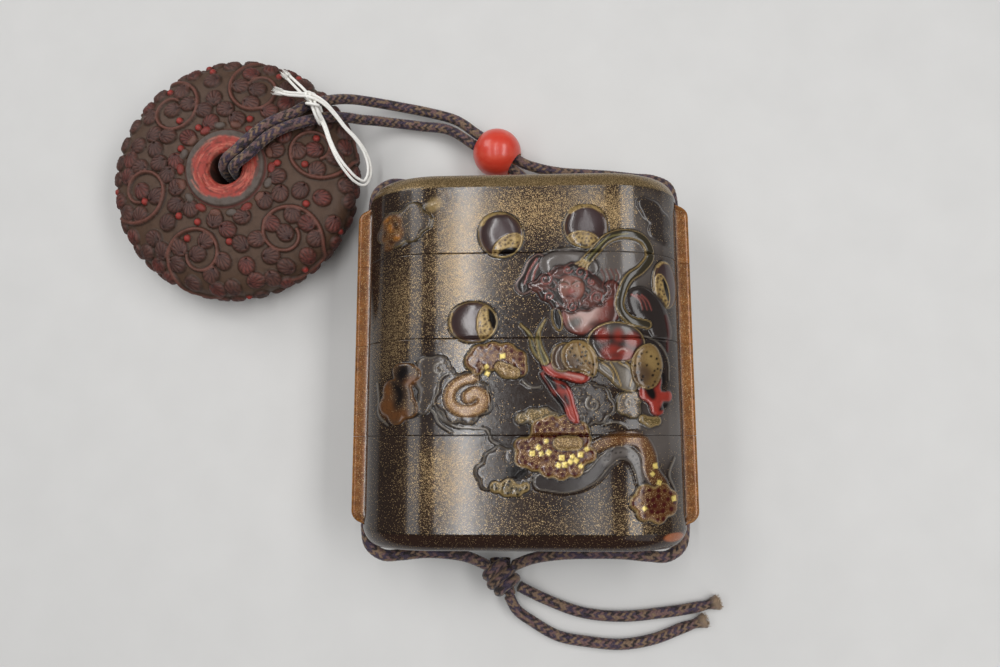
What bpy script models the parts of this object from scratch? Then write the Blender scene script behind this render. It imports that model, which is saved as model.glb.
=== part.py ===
"""A four-tier lacquer inro lying on its back, with its silk cord, coral bead and carved button toggle.

The origin is the middle of the case's back, +Z points up out of the front, +Y runs towards the lid
and +X to the right. Sizes are written in millimetres times MM, because the scene is in metres.
"""

import math

import bmesh
import bpy
from mathutils import Matrix, Vector

MM = 0.001

# The gap kept between pieces that touch on the real object
TOUCH_GAP = 0.3 * MM

# Case, over its whole outside
BODY_WIDTH = 61.6 * MM
BODY_THICKNESS = 25.6 * MM
FLAT_WIDTH = 31.0 * MM
BASE_HEIGHT = 20.4 * MM
LOWER_HEIGHT = 17.55 * MM
UPPER_HEIGHT = 15.95 * MM
LID_HEIGHT = 15.9 * MM
CASE_HEIGHT = BASE_HEIGHT + LOWER_HEIGHT + UPPER_HEIGHT + LID_HEIGHT

# Rounded shoulders round the lid's top and the base's bottom
SHOULDER_LENGTH = 3.2 * MM
SHOULDER_DEPTH = 2.9 * MM
SHOULDER_CREASE = math.radians(20)
SHOULDER_STEPS = 4

# Cord ribs down both narrow sides
RIB_THICKNESS = 5.0 * MM
RIB_REACH = 2.5 * MM
RIB_EDGE = 0.6 * MM
RIB_STOP = 3.9 * MM

# Walls, floors and the risers that centre each tier on the one below
FRONT_WALL = 1.3 * MM
FLOOR = 1.4 * MM
END_WALL = 2.0 * MM
RISER_WALL = 1.0 * MM
RISER_HEIGHT = 4.0 * MM

# Channels that carry the cord through the ribs
CORD_DIAMETER = 2.2 * MM
CHANNEL_CLEARANCE = 0.3 * MM
CHANNEL_INSET = 0.4 * MM
CHANNEL_WALL = 0.8 * MM
MOUTH_RADIUS = 2.2 * MM

# Raised lacquer on the front
RELIEF_HEIGHT = 0.5 * MM
RELIEF_ROOT = 0.7 * MM
RELIEF_EDGE = 0.2 * MM

# Button toggle, which lies beside the lid
BUTTON_X = -61.5 * MM
BUTTON_Y = 40.8 * MM
BUTTON_RADIUS = 25.9 * MM
BUTTON_HALF = 6.8 * MM
BUTTON_LOW = 0.2 * MM
BUTTON_ROUNDNESS = 2.6
BUTTON_FOOT = 12.0 * MM
BUTTON_HOLE = 3.4 * MM
BUTTON_FLOOR = 4.0 * MM
HOLE_ROUNDING = 1.2 * MM
RING_WIDTH = 4.6 * MM
RING_FALL = 0.6 * MM

# Carving on the button: vines that wind into curls, with leaves in and between them
CARVING_HEIGHT = 0.85 * MM
CARVING_ROOT = 0.6 * MM
CURL_COUNT = 6
CURL_START = math.radians(13)
CURL_MARGIN = 7.3 * MM
CURL_OUTER = 5.3 * MM
CURL_INNER = 2.4 * MM
CURL_LEAD = math.radians(137.5)
CURL_WIND = math.radians(289)
VINE_WIDTH = 1.0 * MM
VINE_TAPER = 0.7
LEAF_LENGTH = 3.9 * MM
LEAF_BREADTH = 0.88
LEAF_TWIST = 1.1
LEAVES_FROM_HOLE = 7.6 * MM
LEAVES_FROM_CURLS = 2.25 * MM
LEAVES_FROM_EDGE = 1.3 * MM

# Bead
BEAD_X = -5.4 * MM
BEAD_Y = 46.4 * MM
BEAD_DIAMETER = 10.4 * MM
BEAD_BORE = 5.2 * MM
BEAD_TURN = math.radians(-34.4)
BEAD_LEAD = 0.6 * MM
STRAND_SPACING = 2.4 * MM

# Knot under the base, and the thread on the toggle
KNOT_CENTRE = Vector((-4.7, -42.4, 4.6)) * MM
KNOT_SIZE = Vector((7.0, 7.8, 6.6)) * MM
KNOT_LOBES = 3
KNOT_LAY = 6
KNOT_DENT = 0.06
THREAD_DIAMETER = 1.0 * MM

# Worked out from the sizes above
MIDDLE = BODY_THICKNESS / 2
BOTTOM = -CASE_HEIGHT / 2
TOP = CASE_HEIGHT / 2
RIB_END = CASE_HEIGHT / 2 - RIB_STOP
SHOULDER_START = CASE_HEIGHT / 2 - SHOULDER_LENGTH
CHANNEL_RADIUS = CORD_DIAMETER / 2 + CHANNEL_CLEARANCE
CHANNEL_X = BODY_WIDTH / 2 - CHANNEL_INSET
CHANNEL_RUN = CASE_HEIGHT + 4 * MOUTH_RADIUS
MOUTH_SINK = MOUTH_RADIUS / 4
SIDE_WALL = CHANNEL_INSET + CHANNEL_RADIUS + CHANNEL_WALL
PICTURE_TOP = BODY_THICKNESS + 4 * RELIEF_HEIGHT
BUTTON_CENTRE = Vector((BUTTON_X, BUTTON_Y, 0))
BUTTON_MIDDLE = BUTTON_HALF + BUTTON_LOW
CURL_PLACE = BUTTON_RADIUS - CURL_MARGIN
BEAD_CENTRE = Vector((BEAD_X, BEAD_Y, BEAD_DIAMETER / 2))

# How finely round shapes are divided
SIDE_STEPS = 5
RIB_SHARES = (0.75, 0.3)
ROUND_SHARES = (0, 0.5, 0.87, 1)
CHANNEL_SIDES = 12
BUTTON_STEPS = 32
BUTTON_SLOPES = (24, 37, 52, 65, 76, 90, 108, 130)
CURL_POINTS = 8
BEAD_STEPS = 20
BEAD_BANDS = 8
LEAF_SIDES = 6
KNOT_STEPS = 16
KNOT_BANDS = 10
SHARP_ANGLE = math.radians(35)
SAME_PLACE = 1e-6


def finish(name, color, roughness, metallic=0.0):
    """A Principled material in one plain colour."""
    material = bpy.data.materials.new(name)
    material.use_nodes = True
    shader = material.node_tree.nodes["Principled BSDF"]
    shader.inputs["Base Color"].default_value = (*color, 1.0)
    shader.inputs["Roughness"].default_value = roughness
    shader.inputs["Metallic"].default_value = metallic
    material.diffuse_color = (*color, 1.0)
    return material


def add_object(name, shape, material=None):
    """The bmesh as a named object, with its faces pointing out."""
    bmesh.ops.recalc_face_normals(shape, faces=shape.faces)
    mesh = bpy.data.meshes.new(name)
    shape.to_mesh(mesh)
    shape.free()
    if material:
        mesh.materials.append(material)
    mesh.shade_smooth()
    mesh.set_sharp_from_angle(angle=SHARP_ANGLE)
    piece = bpy.data.objects.new(name, mesh)
    bpy.context.scene.collection.objects.link(piece)
    return piece


def as_helper(piece):
    """Marks a cutter or a guide, which isn't part of the object."""
    piece.hide_render = True
    piece.display_type = "WIRE"
    return piece


def combine(piece, other, operation, overlapping=False):
    """A Boolean that stays on the piece."""
    modifier = piece.modifiers.new(other.name, "BOOLEAN")
    modifier.operation = operation
    modifier.object = other
    modifier.solver = "EXACT"
    modifier.use_self = overlapping


def add_loft(shape, rings, closed=False, peak=None):
    """Joins rings of points with faces. An open loft gets a cap at each end, or a point at its far one."""
    loops = [[shape.verts.new(point) for point in ring] for ring in rings]
    count = len(loops[0])
    following = loops[1:] + loops[:1] if closed else loops[1:]
    for near, far in zip(loops, following):
        for i in range(count):
            j = (i + 1) % count
            shape.faces.new((near[i], near[j], far[j], far[i]))
    if closed:
        return
    shape.faces.new(loops[0])
    if peak is None:
        shape.faces.new(list(reversed(loops[-1])))
        return
    tip = shape.verts.new(peak)
    for i in range(count):
        shape.faces.new((loops[-1][i], loops[-1][(i + 1) % count], tip))


def loft(name, rings, material=None, closed=False):
    shape = bmesh.new()
    add_loft(shape, rings, closed)
    return add_object(name, shape, material)


# Case outline


def rib_reach(y):
    """How far the rib stands out at y: full along its length, round at its ends, none beyond."""
    into_round = (abs(y) - (RIB_END - RIB_REACH)) / RIB_REACH
    if into_round >= 1:
        return 0.0
    return RIB_REACH * math.sqrt(1 - max(into_round, 0.0) ** 2)


def shoulder_point(fraction):
    """Share of the shoulder's length and depth at a share of its turn, starting from the crease."""
    angle = SHOULDER_CREASE + fraction * (math.pi / 2 - SHOULDER_CREASE)
    length = (math.sin(angle) - math.sin(SHOULDER_CREASE)) / (1 - math.sin(SHOULDER_CREASE))
    depth = 1 - math.cos(angle) / math.cos(SHOULDER_CREASE)
    return length, depth


def shoulder_rings():
    """(distance from the case's middle, inset) down one shoulder."""
    rings = []
    for step in range(SHOULDER_STEPS + 1):
        length, depth = shoulder_point(step / SHOULDER_STEPS)
        rings.append((SHOULDER_START + length * SHOULDER_LENGTH, depth * SHOULDER_DEPTH))
    return rings


def outline(y, side_inset, front_inset, reach=0.0):
    """One turn round the case at y, inset from its outer skin, with the ribs standing out by reach."""
    half_flat = FLAT_WIDTH / 2
    across = BODY_WIDTH / 2 - side_inset - half_flat
    up = BODY_THICKNESS / 2 - front_inset
    rib_half = RIB_THICKNESS / 2
    rib_angle = math.asin(rib_half / up)
    quarter = []
    for step in range(SIDE_STEPS + 1):
        angle = math.pi / 2 - (math.pi / 2 - rib_angle) * step / SIDE_STEPS
        quarter.append((half_flat + across * math.cos(angle), up * math.sin(angle)))
    root = quarter[-1][0]
    if reach > RIB_EDGE:
        quarter.append((root + reach - RIB_EDGE, rib_half))
        quarter.append((root + reach, rib_half - RIB_EDGE))
    else:
        for share in RIB_SHARES:
            height = rib_half * share
            quarter.append((half_flat + across * math.sqrt(1 - (height / up) ** 2), height))
    right = quarter + [(x, -z) for x, z in reversed(quarter)]
    around = right + [(-x, -z) for x, z in right]
    return [(x, y, MIDDLE + z) for x, z in around]


def skin_stations():
    """Every y where the case's outer skin changes, from the base's bottom to the lid's top."""
    upper = [RIB_END - (1 - share) * RIB_REACH for share in ROUND_SHARES]
    upper += [y for y, inset in shoulder_rings()]
    return sorted([-y for y in upper] + upper)


def skin_ring(y):
    """The case's outer skin at y, shoulders and ribs included."""
    inset = 0.0
    for station, depth in shoulder_rings():
        if abs(abs(y) - station) < SAME_PLACE:
            inset = depth
    return outline(y, inset, inset, rib_reach(y))


def skin(low, high):
    between = [y for y in skin_stations() if low + SAME_PLACE < y < high - SAME_PLACE]
    return [skin_ring(y) for y in [low, *between, high]]


# Raised pictures on the front, in millimetres from the middle of the front


def oval(x, y, half_wide, half_tall, turn=0.0, count=12):
    points = []
    for i in range(count):
        angle = math.tau * i / count
        across, along = half_wide * math.cos(angle), half_tall * math.sin(angle)
        c, s = math.cos(math.radians(turn)), math.sin(math.radians(turn))
        points.append((x + across * c - along * s, y + across * s + along * c))
    return points


def cloud(x, y, half_wide, half_tall, lobes=5, turn=0.0, depth=0.2):
    """An oval whose edge is scalloped into lobes."""
    points = []
    for px, py in oval(0, 0, half_wide, half_tall, turn, 3 * lobes):
        scallop = 1 - depth * (1 - abs(math.sin(lobes * math.atan2(py, px) / 2)))
        points.append((x + px * scallop, y + py * scallop))
    return points


def ribbon(path, half_width):
    """A band of even width along a path, with its two ends cut square."""
    left, right = [], []
    for i, (x, y) in enumerate(path):
        before, after = path[max(i - 1, 0)], path[min(i + 1, len(path) - 1)]
        along = Vector((after[0] - before[0], after[1] - before[1])).normalized()
        left.append((x - along.y * half_width, y + along.x * half_width))
        right.append((x + along.y * half_width, y - along.x * half_width))
    return left + right[::-1]


DRUMS = [
    oval(-3.9, 22.4, 4.2, 4.5, 35),
    oval(12.3, 23.2, 4.2, 4.3),
    oval(-8.9, 5.8, 4.6, 3.9),
    oval(26.4, 13.8, 2.0, 4.2),
]
CLOUDS = [
    cloud(-23.6, 24.6, 4.4, 3.6, 5),
    cloud(-22.9, -6.4, 4.2, 5.2, 6, -20),
    cloud(-11.0, -7.4, 4.6, 3.6, 5, -20),
    cloud(-4.4, -0.9, 5.6, 3.2, 6, -10),
    cloud(12.5, -8.9, 3.7, 2.9, 5),
    cloud(5.6, -16.4, 6.6, 4.7, 8),
    cloud(-3.2, -20.8, 4.6, 3.7, 6, -20),
    cloud(23.0, -25.6, 4.0, 3.6, 6),
    ribbon([(12.2, -16.6), (16.6, -15.6), (20.0, -17.4), (21.6, -21.2)], 1.6),
]
HEAD = [
    (3.6, 18.6), (0.4, 16.4), (-0.6, 12.6), (3.0, 9.6), (8.4, 7.8),
    (13.0, 9.0), (15.4, 12.6), (12.6, 17.4), (7.6, 18.0),
]
CHEST = [(7.2, 8.6), (8.2, 4.2), (12.4, 3.6), (18.4, 6.0), (19.0, 10.6), (14.8, 11.6)]
BACK = [(19.4, 10.4), (22.6, 11.4), (26.4, 8.6), (27.2, 3.4), (24.6, 2.6), (21.8, 5.6)]
LEFT_LEG = [(4.2, -1.2), (12.2, -4.6), (8.4, -4.8), (9.6, -12.8), (5.6, -7.0)]
RIGHT_LEG = [(25.2, -4.4), (27.0, -8.8), (22.8, -10.4), (21.4, -6.6)]
SCARF = [
    (10.9, 16.6), (13.4, 18.6), (15.6, 21.2), (19.5, 22.4),
    (23.2, 21.4), (24.0, 17.6), (20.6, 14.0), (18.6, 9.6),
]
FIGURE = [
    HEAD,
    CHEST,
    BACK,
    LEFT_LEG,
    RIGHT_LEG,
    ribbon(SCARF, 0.9),
    ribbon([(0.0, 5.4), (2.0, 2.2), (4.2, -0.6)], 0.7),
    oval(17.6, 2.4, 5.7, 3.5),
    oval(9.8, -0.6, 4.7, 2.9, -10),
    oval(22.8, -2.0, 2.9, 3.9, -20),
]


def add_prism(shape, points):
    """An upright block through the case's front, on an outline in millimetres."""
    low = [(x * MM, y * MM, MIDDLE) for x, y in points]
    high = [(x * MM, y * MM, PICTURE_TOP) for x, y in points]
    add_loft(shape, [low, high])


def picture_blocks():
    shape = bmesh.new()
    for points in DRUMS + CLOUDS + FIGURE:
        add_prism(shape, points)
    return as_helper(add_object("picture_blocks", shape))


def raised_picture(name, low, high, blocks):
    """The part of the pictures that one tier carries, as thin pads rooted in its wall."""
    low = max(low + RELIEF_EDGE, -SHOULDER_START + RELIEF_EDGE)
    high = min(high - RELIEF_EDGE, SHOULDER_START - RELIEF_EDGE)
    above, below = -RELIEF_HEIGHT, RELIEF_ROOT
    rings = [
        outline(low, above, above),
        outline(high, above, above),
        outline(high, below, below),
        outline(low, below, below),
    ]
    pads = as_helper(loft(name + "_picture", rings, closed=True))
    combine(pads, blocks, "INTERSECT", overlapping=True)
    return pads


# Tiers


def cavity_rings(low, high):
    """A tier's inside, as rings at both of its ends."""
    inset = FRONT_WALL + TOUCH_GAP + RISER_WALL
    side = SIDE_WALL + TOUCH_GAP + RISER_WALL
    return [outline(high, side, inset), outline(low, side, inset)]


def tier(name, low, high, lacquer, closed_below=False, closed_above=False):
    """One tier: a wall with a recess below, a floor, and a riser above."""
    low_rim = low if closed_below else low + TOUCH_GAP / 2
    high_rim = high if closed_above else high - TOUCH_GAP / 2
    recess_depth = RISER_HEIGHT + 2 * TOUCH_GAP
    rings = []
    if closed_above:
        rings.append(outline(high_rim - END_WALL, SIDE_WALL, FRONT_WALL))
    elif not closed_below:
        rings.append(outline(low_rim + recess_depth, SIDE_WALL, FRONT_WALL))
    if not closed_below:
        rings.append(outline(low_rim, SIDE_WALL, FRONT_WALL))
    rings += skin(low_rim, high_rim)
    if not closed_above:
        floor_top = low_rim + (END_WALL if closed_below else recess_depth + FLOOR)
        side, front = SIDE_WALL + TOUCH_GAP, FRONT_WALL + TOUCH_GAP
        rings.append(outline(high_rim, side, front))
        rings.append(outline(high_rim + RISER_HEIGHT, side, front))
        rings += cavity_rings(floor_top, high_rim + RISER_HEIGHT)
    return loft(name, rings, lacquer)


def cord_channels():
    """Two long cutters through the ribs, with rounded mouths at both ends."""
    shape = bmesh.new()
    corner_radius = CHANNEL_RADIUS / math.cos(math.pi / CHANNEL_SIDES)
    lengthways = Matrix.Rotation(math.pi / 2, 4, "X")
    for side in (-1, 1):
        bmesh.ops.create_cone(
            shape,
            cap_ends=True,
            segments=CHANNEL_SIDES,
            radius1=corner_radius,
            radius2=corner_radius,
            depth=CHANNEL_RUN,
            matrix=Matrix.Translation((side * CHANNEL_X, 0, MIDDLE)) @ lengthways,
        )
        for end in (-1, 1):
            place = (side * (CHANNEL_X - MOUTH_SINK), end * (TOP - MOUTH_SINK), MIDDLE)
            bmesh.ops.create_uvsphere(
                shape,
                u_segments=CHANNEL_SIDES,
                v_segments=8,
                radius=MOUTH_RADIUS,
                matrix=Matrix.Translation(place),
            )
    return as_helper(add_object("cord_channels", shape))


def build_case():
    lacquer = finish("lacquer", (0.07, 0.05, 0.035), 0.3)
    blocks = picture_blocks()
    channels = cord_channels()
    seams = [BOTTOM]
    for height in (BASE_HEIGHT, LOWER_HEIGHT, UPPER_HEIGHT, LID_HEIGHT):
        seams.append(seams[-1] + height)
    names = ("base_case", "lower_case", "upper_case", "lid")
    for i, name in enumerate(names):
        low, high = seams[i], seams[i + 1]
        piece = tier(name, low, high, lacquer, closed_below=i == 0, closed_above=i == len(names) - 1)
        combine(piece, raised_picture(name, low, high, blocks), "UNION")
        combine(piece, channels, "DIFFERENCE", overlapping=True)


# Button toggle


def on_button(turn, slope, lift):
    """A point on the button: turn is round its axis, slope from its top (0) over its edge (90 degrees)."""
    power = 2 / BUTTON_ROUNDNESS
    out, rise = abs(math.sin(slope)), abs(math.cos(slope))
    upright = math.copysign(1, math.cos(slope))
    flank = Vector((out ** (2 - power) / BUTTON_RADIUS, upright * rise ** (2 - power) / BUTTON_HALF))
    flank.normalize()
    across = BUTTON_RADIUS * out ** power + lift * flank.x
    up = BUTTON_HALF * upright * rise ** power + lift * flank.y
    around = Vector((math.cos(turn), math.sin(turn), 0))
    point = BUTTON_CENTRE + around * across + Vector((0, 0, BUTTON_MIDDLE + up))
    outward = around * flank.x + Vector((0, 0, flank.y))
    return point, outward, around


def slope_at(radius):
    """The slope at which the button's top has this distance from its axis."""
    return math.asin(min(radius / BUTTON_RADIUS, 1.0) ** (BUTTON_ROUNDNESS / 2))


def button_profile():
    """(distance from the axis, height) from the hole's floor, over the top and round to the underside."""
    top = BUTTON_MIDDLE + BUTTON_HALF
    rim = top + CARVING_HEIGHT
    points = [(BUTTON_HOLE, BUTTON_FLOOR), (BUTTON_HOLE, rim - HOLE_ROUNDING)]
    for degrees in (45, 90):
        angle = math.radians(degrees)
        across = BUTTON_HOLE + HOLE_ROUNDING * (1 - math.cos(angle))
        points.append((across, rim - HOLE_ROUNDING * (1 - math.sin(angle))))
    ring = BUTTON_HOLE + RING_WIDTH
    points += [(ring, rim), (ring + RING_FALL, rim - CARVING_HEIGHT)]
    for degrees in BUTTON_SLOPES:
        points.append(profile_point(math.radians(degrees)))
    points.append((BUTTON_FOOT, 0.0))
    return points


def profile_point(slope):
    point, outward, around = on_button(0.0, slope, 0.0)
    return point.x - BUTTON_CENTRE.x, point.z


def turned(name, profile, count, material):
    """A closed body of revolution about Z. Its profile starts and ends with caps."""
    rings = []
    for across, up in profile:
        ring = []
        for i in range(count):
            angle = math.tau * i / count
            ring.append((across * math.cos(angle), across * math.sin(angle), up))
        rings.append(ring)
    return loft(name, rings, material)


def add_leaf(shape, turn, slope, heading):
    """A small domed leaf, rooted under the button's skin."""
    middle, outward, around = on_button(turn, slope, 0.0)
    sideways = outward.cross(around).normalized()
    downhill = sideways.cross(outward).normalized()
    along = downhill * math.cos(heading) + sideways * math.sin(heading)
    across = outward.cross(along)
    rim = []
    for i in range(LEAF_SIDES):
        angle = math.tau * i / LEAF_SIDES
        spread = along * math.cos(angle) + across * math.sin(angle) * LEAF_BREADTH
        rim.append(middle + spread * LEAF_LENGTH / 2)
    rings = [[point + outward * lift for point in rim] for lift in (-CARVING_ROOT, CARVING_HEIGHT / 2)]
    add_loft(shape, rings, peak=middle + outward * CARVING_HEIGHT)


def add_vine(shape, path):
    """A ridge that narrows upwards, along a path of (turn, slope)."""
    rings = []
    for i, (turn, slope) in enumerate(path):
        before, after = path[max(i - 1, 0)], path[min(i + 1, len(path) - 1)]
        along = on_button(*after, 0.0)[0] - on_button(*before, 0.0)[0]
        point, outward, around = on_button(turn, slope, 0.0)
        across = outward.cross(along.normalized()) * VINE_WIDTH / 2
        foot = point - outward * CARVING_ROOT
        crest = point + outward * VINE_TAPER * CARVING_HEIGHT
        narrow = across * VINE_TAPER
        rings.append([foot - across, foot + across, crest + narrow, crest - narrow])
    add_loft(shape, rings)


def polar(x, y):
    """(turn, slope) of a spot on the button's top, from its distance right and up of the axis."""
    return math.atan2(y, x), slope_at(math.hypot(x, y))


def curl_path(number):
    """A vine that winds into a curl, tighter as it goes, by turns to the left and to the right."""
    place = CURL_START + math.tau * number / CURL_COUNT
    hand = 1 if number % 2 else -1
    path = []
    for step in range(CURL_POINTS):
        share = step / (CURL_POINTS - 1)
        angle = place + hand * (CURL_LEAD + share * CURL_WIND)
        radius = CURL_OUTER + share * (CURL_INNER - CURL_OUTER)
        x = CURL_PLACE * math.cos(place) + radius * math.cos(angle)
        y = CURL_PLACE * math.sin(place) + radius * math.sin(angle)
        path.append(polar(x, y))
    return path


def leaf_ring(count, distance, offset=0.0):
    """(turn, distance from the axis) of leaves spaced evenly round the axis."""
    return [(CURL_START + math.tau * (i + offset) / count, distance) for i in range(count)]


def leaf_spots():
    """(turn, distance from the axis) of each leaf: by the hole, in and between the curls, at the edge."""
    spots = leaf_ring(2 * CURL_COUNT, BUTTON_HOLE + LEAVES_FROM_HOLE, 0.25)
    spots += leaf_ring(CURL_COUNT, CURL_PLACE)
    spots += leaf_ring(CURL_COUNT, CURL_PLACE - LEAVES_FROM_CURLS, 0.5)
    spots += leaf_ring(CURL_COUNT, CURL_PLACE + LEAVES_FROM_CURLS, 0.5)
    spots += leaf_ring(3 * CURL_COUNT, BUTTON_RADIUS - LEAVES_FROM_EDGE)
    return spots


def build_button():
    stain = finish("stained_carving", (0.14, 0.045, 0.03), 0.5)
    button = turned("button_toggle", button_profile(), BUTTON_STEPS, stain)
    button.location = (BUTTON_CENTRE.x, BUTTON_CENTRE.y, 0)
    carving = bmesh.new()
    for number in range(CURL_COUNT):
        add_vine(carving, curl_path(number))
    for number, (turn, distance) in enumerate(leaf_spots()):
        add_leaf(carving, turn, slope_at(distance), LEAF_TWIST * number)
    helper = as_helper(add_object("carving", carving))
    combine(button, helper, "UNION", overlapping=True)


# Bead, knot, cords and thread


def build_bead():
    """A sphere turned about its bore, then laid with the bore level."""
    radius = BEAD_DIAMETER / 2
    start = math.asin(BEAD_BORE / BEAD_DIAMETER)
    rings = []
    for band in range(BEAD_BANDS + 1):
        angle = start + (math.pi - 2 * start) * band / BEAD_BANDS
        across, along = radius * math.sin(angle), radius * math.cos(angle)
        ring = []
        for i in range(BEAD_STEPS):
            turn = math.tau * i / BEAD_STEPS
            ring.append((along, across * math.cos(turn), across * math.sin(turn)))
        rings.append(ring)
    coral = finish("coral", (0.62, 0.06, 0.03), 0.25)
    bead = loft("slide_bead", rings, coral, closed=True)
    bead.location = BEAD_CENTRE
    bead.rotation_euler = (0, 0, BEAD_TURN)


def strand_in_bead(side, along):
    """A point on a strand inside the bead: side is 1 or -1, along runs towards the lid."""
    place = Vector((along, side * STRAND_SPACING / 2, 0))
    place.rotate(Matrix.Rotation(BEAD_TURN, 3, "Z"))
    return BEAD_CENTRE + place


def knot_exit(direction):
    """Where a cord that leaves the knot this way meets it, with the gap kept."""
    way = Vector(direction).normalized()
    half = KNOT_SIZE / 2
    reach = 1 / math.sqrt(sum((way[i] / half[i]) ** 2 for i in range(3)))
    return KNOT_CENTRE + way * (reach + TOUCH_GAP + CORD_DIAMETER / 4)


def build_knot(silk):
    """The knot's outer shape: a lobed ball, as two turns of cord drawn tight."""
    shape = bmesh.new()
    bmesh.ops.create_uvsphere(shape, u_segments=KNOT_STEPS, v_segments=KNOT_BANDS, radius=0.5)
    for vert in shape.verts:
        around = math.atan2(vert.co.y, vert.co.x)
        vert.co *= 1 - KNOT_DENT * (1 - math.cos(KNOT_LOBES * around + KNOT_LAY * vert.co.z))
    bmesh.ops.scale(shape, vec=KNOT_SIZE, verts=shape.verts)
    knot = add_object("cord_knot", shape, silk)
    knot.location = KNOT_CENTRE


def add_cord(name, points, diameter, material):
    """A plain round cord through the points."""
    curve = bpy.data.curves.new(name, "CURVE")
    curve.dimensions = "3D"
    curve.bevel_depth = diameter / 2
    curve.bevel_resolution = 2
    curve.use_fill_caps = True
    spline = curve.splines.new("POLY")
    spline.points.add(len(points) - 1)
    for knot, point in zip(spline.points, points):
        knot.co = (*point, 1)
    curve.materials.append(material)
    cord = bpy.data.objects.new(name, curve)
    bpy.context.scene.collection.objects.link(cord)


def millimetres(points):
    return [Vector(point) * MM for point in points]


def in_channel(side):
    """The cord's straight run through the ribs, from the base to the lid."""
    return [Vector((side * CHANNEL_X, share * (RIB_END + MM), MIDDLE)) for share in (-1, 0, 1)]


# Which way each cord leaves the knot, then the points of its route in millimetres

LEFT_FROM_KNOT = (-0.6, 0.58, 0.5)
RIGHT_FROM_KNOT = (0.6, 0.58, 0.5)
UPPER_TAIL_FROM_KNOT = (0.7, -0.4, -0.3)
LOWER_TAIL_FROM_KNOT = (0.3, -0.8, -0.35)
LEFT_UNDER_BASE = [
    (-10.8, -38.0, 9.0),
    (-15.0, -36.9, 11.4),
    (-19.5, -36.6, 12.6),
    (-23.5, -37.0, 12.8),
    (-27.2, -37.0, 12.8),
    (-29.6, -35.3, 12.8),
]
LEFT_OVER_LID = [
    (-29.6, 35.3, 12.8),
    (-27.2, 37.0, 12.8),
    (-23.5, 37.0, 12.6),
    (-16.0, 36.5, 11.0),
    (-9.0, 36.4, 9.0),
    (-2.6, 36.5, 7.0),
    (-0.4, 37.3, 6.2),
    (0.5, 39.0, 5.6),
    (0.2, 40.6, 5.3),
]
LEFT_TO_BUTTON = [
    (-16.3, 52.6, 3.8),
    (-22.3, 54.0, 2.7),
    (-26.8, 54.6, 2.9),
    (-29.8, 54.4, 4.4),
    (-32.3, 54.0, 6.2),
    (-34.5, 53.3, 8.4),
    (-36.6, 52.7, 10.8),
    (-38.7, 52.2, 12.5),
    (-40.9, 51.6, 13.7),
    (-44.9, 50.2, 15.0),
    (-48.9, 48.6, 15.7),
    (-52.2, 46.5, 16.1),
    (-54.5, 44.3, 16.2),
    (-56.3, 42.5, 16.3),
    (-58.1, 41.4, 15.9),
    (-59.7, 40.8, 14.2),
    (-60.3, 40.6, 11.2),
    (-60.3, 40.6, 6.0),
]
RIGHT_UNDER_BASE = [
    (1.4, -38.2, 9.0),
    (7.0, -37.0, 11.2),
    (13.0, -36.6, 12.4),
    (19.0, -36.6, 12.8),
    (23.5, -37.0, 12.8),
    (27.2, -37.0, 12.8),
    (29.6, -35.3, 12.8),
]
RIGHT_OVER_LID = [
    (29.5, 35.4, 12.8),
    (27.0, 37.1, 12.0),
    (23.5, 38.4, 9.8),
    (18.7, 40.2, 6.8),
    (13.5, 41.5, 4.6),
    (8.2, 42.3, 3.8),
    (3.2, 43.2, 4.4),
]
RIGHT_TO_BUTTON = [
    (-13.9, 54.3, 4.1),
    (-21.4, 57.3, 2.8),
    (-26.9, 58.6, 2.7),
    (-30.7, 58.9, 3.9),
    (-33.9, 58.8, 5.6),
    (-36.7, 58.1, 8.2),
    (-38.9, 57.0, 10.7),
    (-41.1, 55.8, 12.6),
    (-43.7, 54.7, 13.9),
    (-47.6, 51.9, 15.2),
    (-51.5, 49.9, 15.9),
    (-54.6, 47.6, 16.2),
    (-56.8, 45.5, 16.3),
    (-58.7, 43.8, 16.0),
    (-60.7, 42.6, 15.2),
    (-62.1, 41.6, 13.5),
    (-62.7, 41.0, 10.8),
    (-62.7, 41.0, 6.0),
]
UPPER_TAIL = [
    (0.6, -45.4, 2.6),
    (4.6, -47.4, 1.5),
    (11.5, -49.8, 1.2),
    (19.4, -50.5, 1.2),
    (27.0, -49.8, 1.2),
    (33.6, -48.8, 1.2),
    (38.8, -47.6, 1.3),
]
LOWER_TAIL = [
    (-1.7, -49.2, 2.0),
    (1.6, -51.7, 1.3),
    (6.4, -54.3, 1.2),
    (13.0, -55.5, 1.2),
    (19.2, -55.9, 1.2),
    (25.8, -54.8, 1.2),
    (31.9, -52.5, 1.2),
    (36.1, -51.1, 1.3),
]
THREAD = [
    (-49.7, 61.4, 13.4),
    (-47.1, 58.5, 15.0),
    (-44.7, 55.8, 16.3),
    (-42.9, 53.6, 17.0),
    (-41.6, 51.2, 16.6),
    (-40.5, 49.0, 15.8),
    (-39.4, 45.8, 15.0),
    (-38.0, 42.7, 14.0),
    (-36.2, 40.2, 12.6),
    (-34.7, 38.8, 11.2),
    (-33.2, 38.5, 10.0),
    (-32.4, 39.9, 9.8),
    (-32.2, 42.1, 10.2),
    (-32.9, 44.6, 11.2),
    (-34.5, 47.0, 13.0),
    (-36.5, 49.0, 14.6),
    (-38.3, 51.2, 16.0),
    (-40.1, 52.9, 17.6),
    (-42.3, 54.0, 18.6),
    (-44.9, 54.7, 17.9),
    (-48.0, 55.7, 16.4),
    (-50.7, 56.8, 15.4),
]


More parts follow.
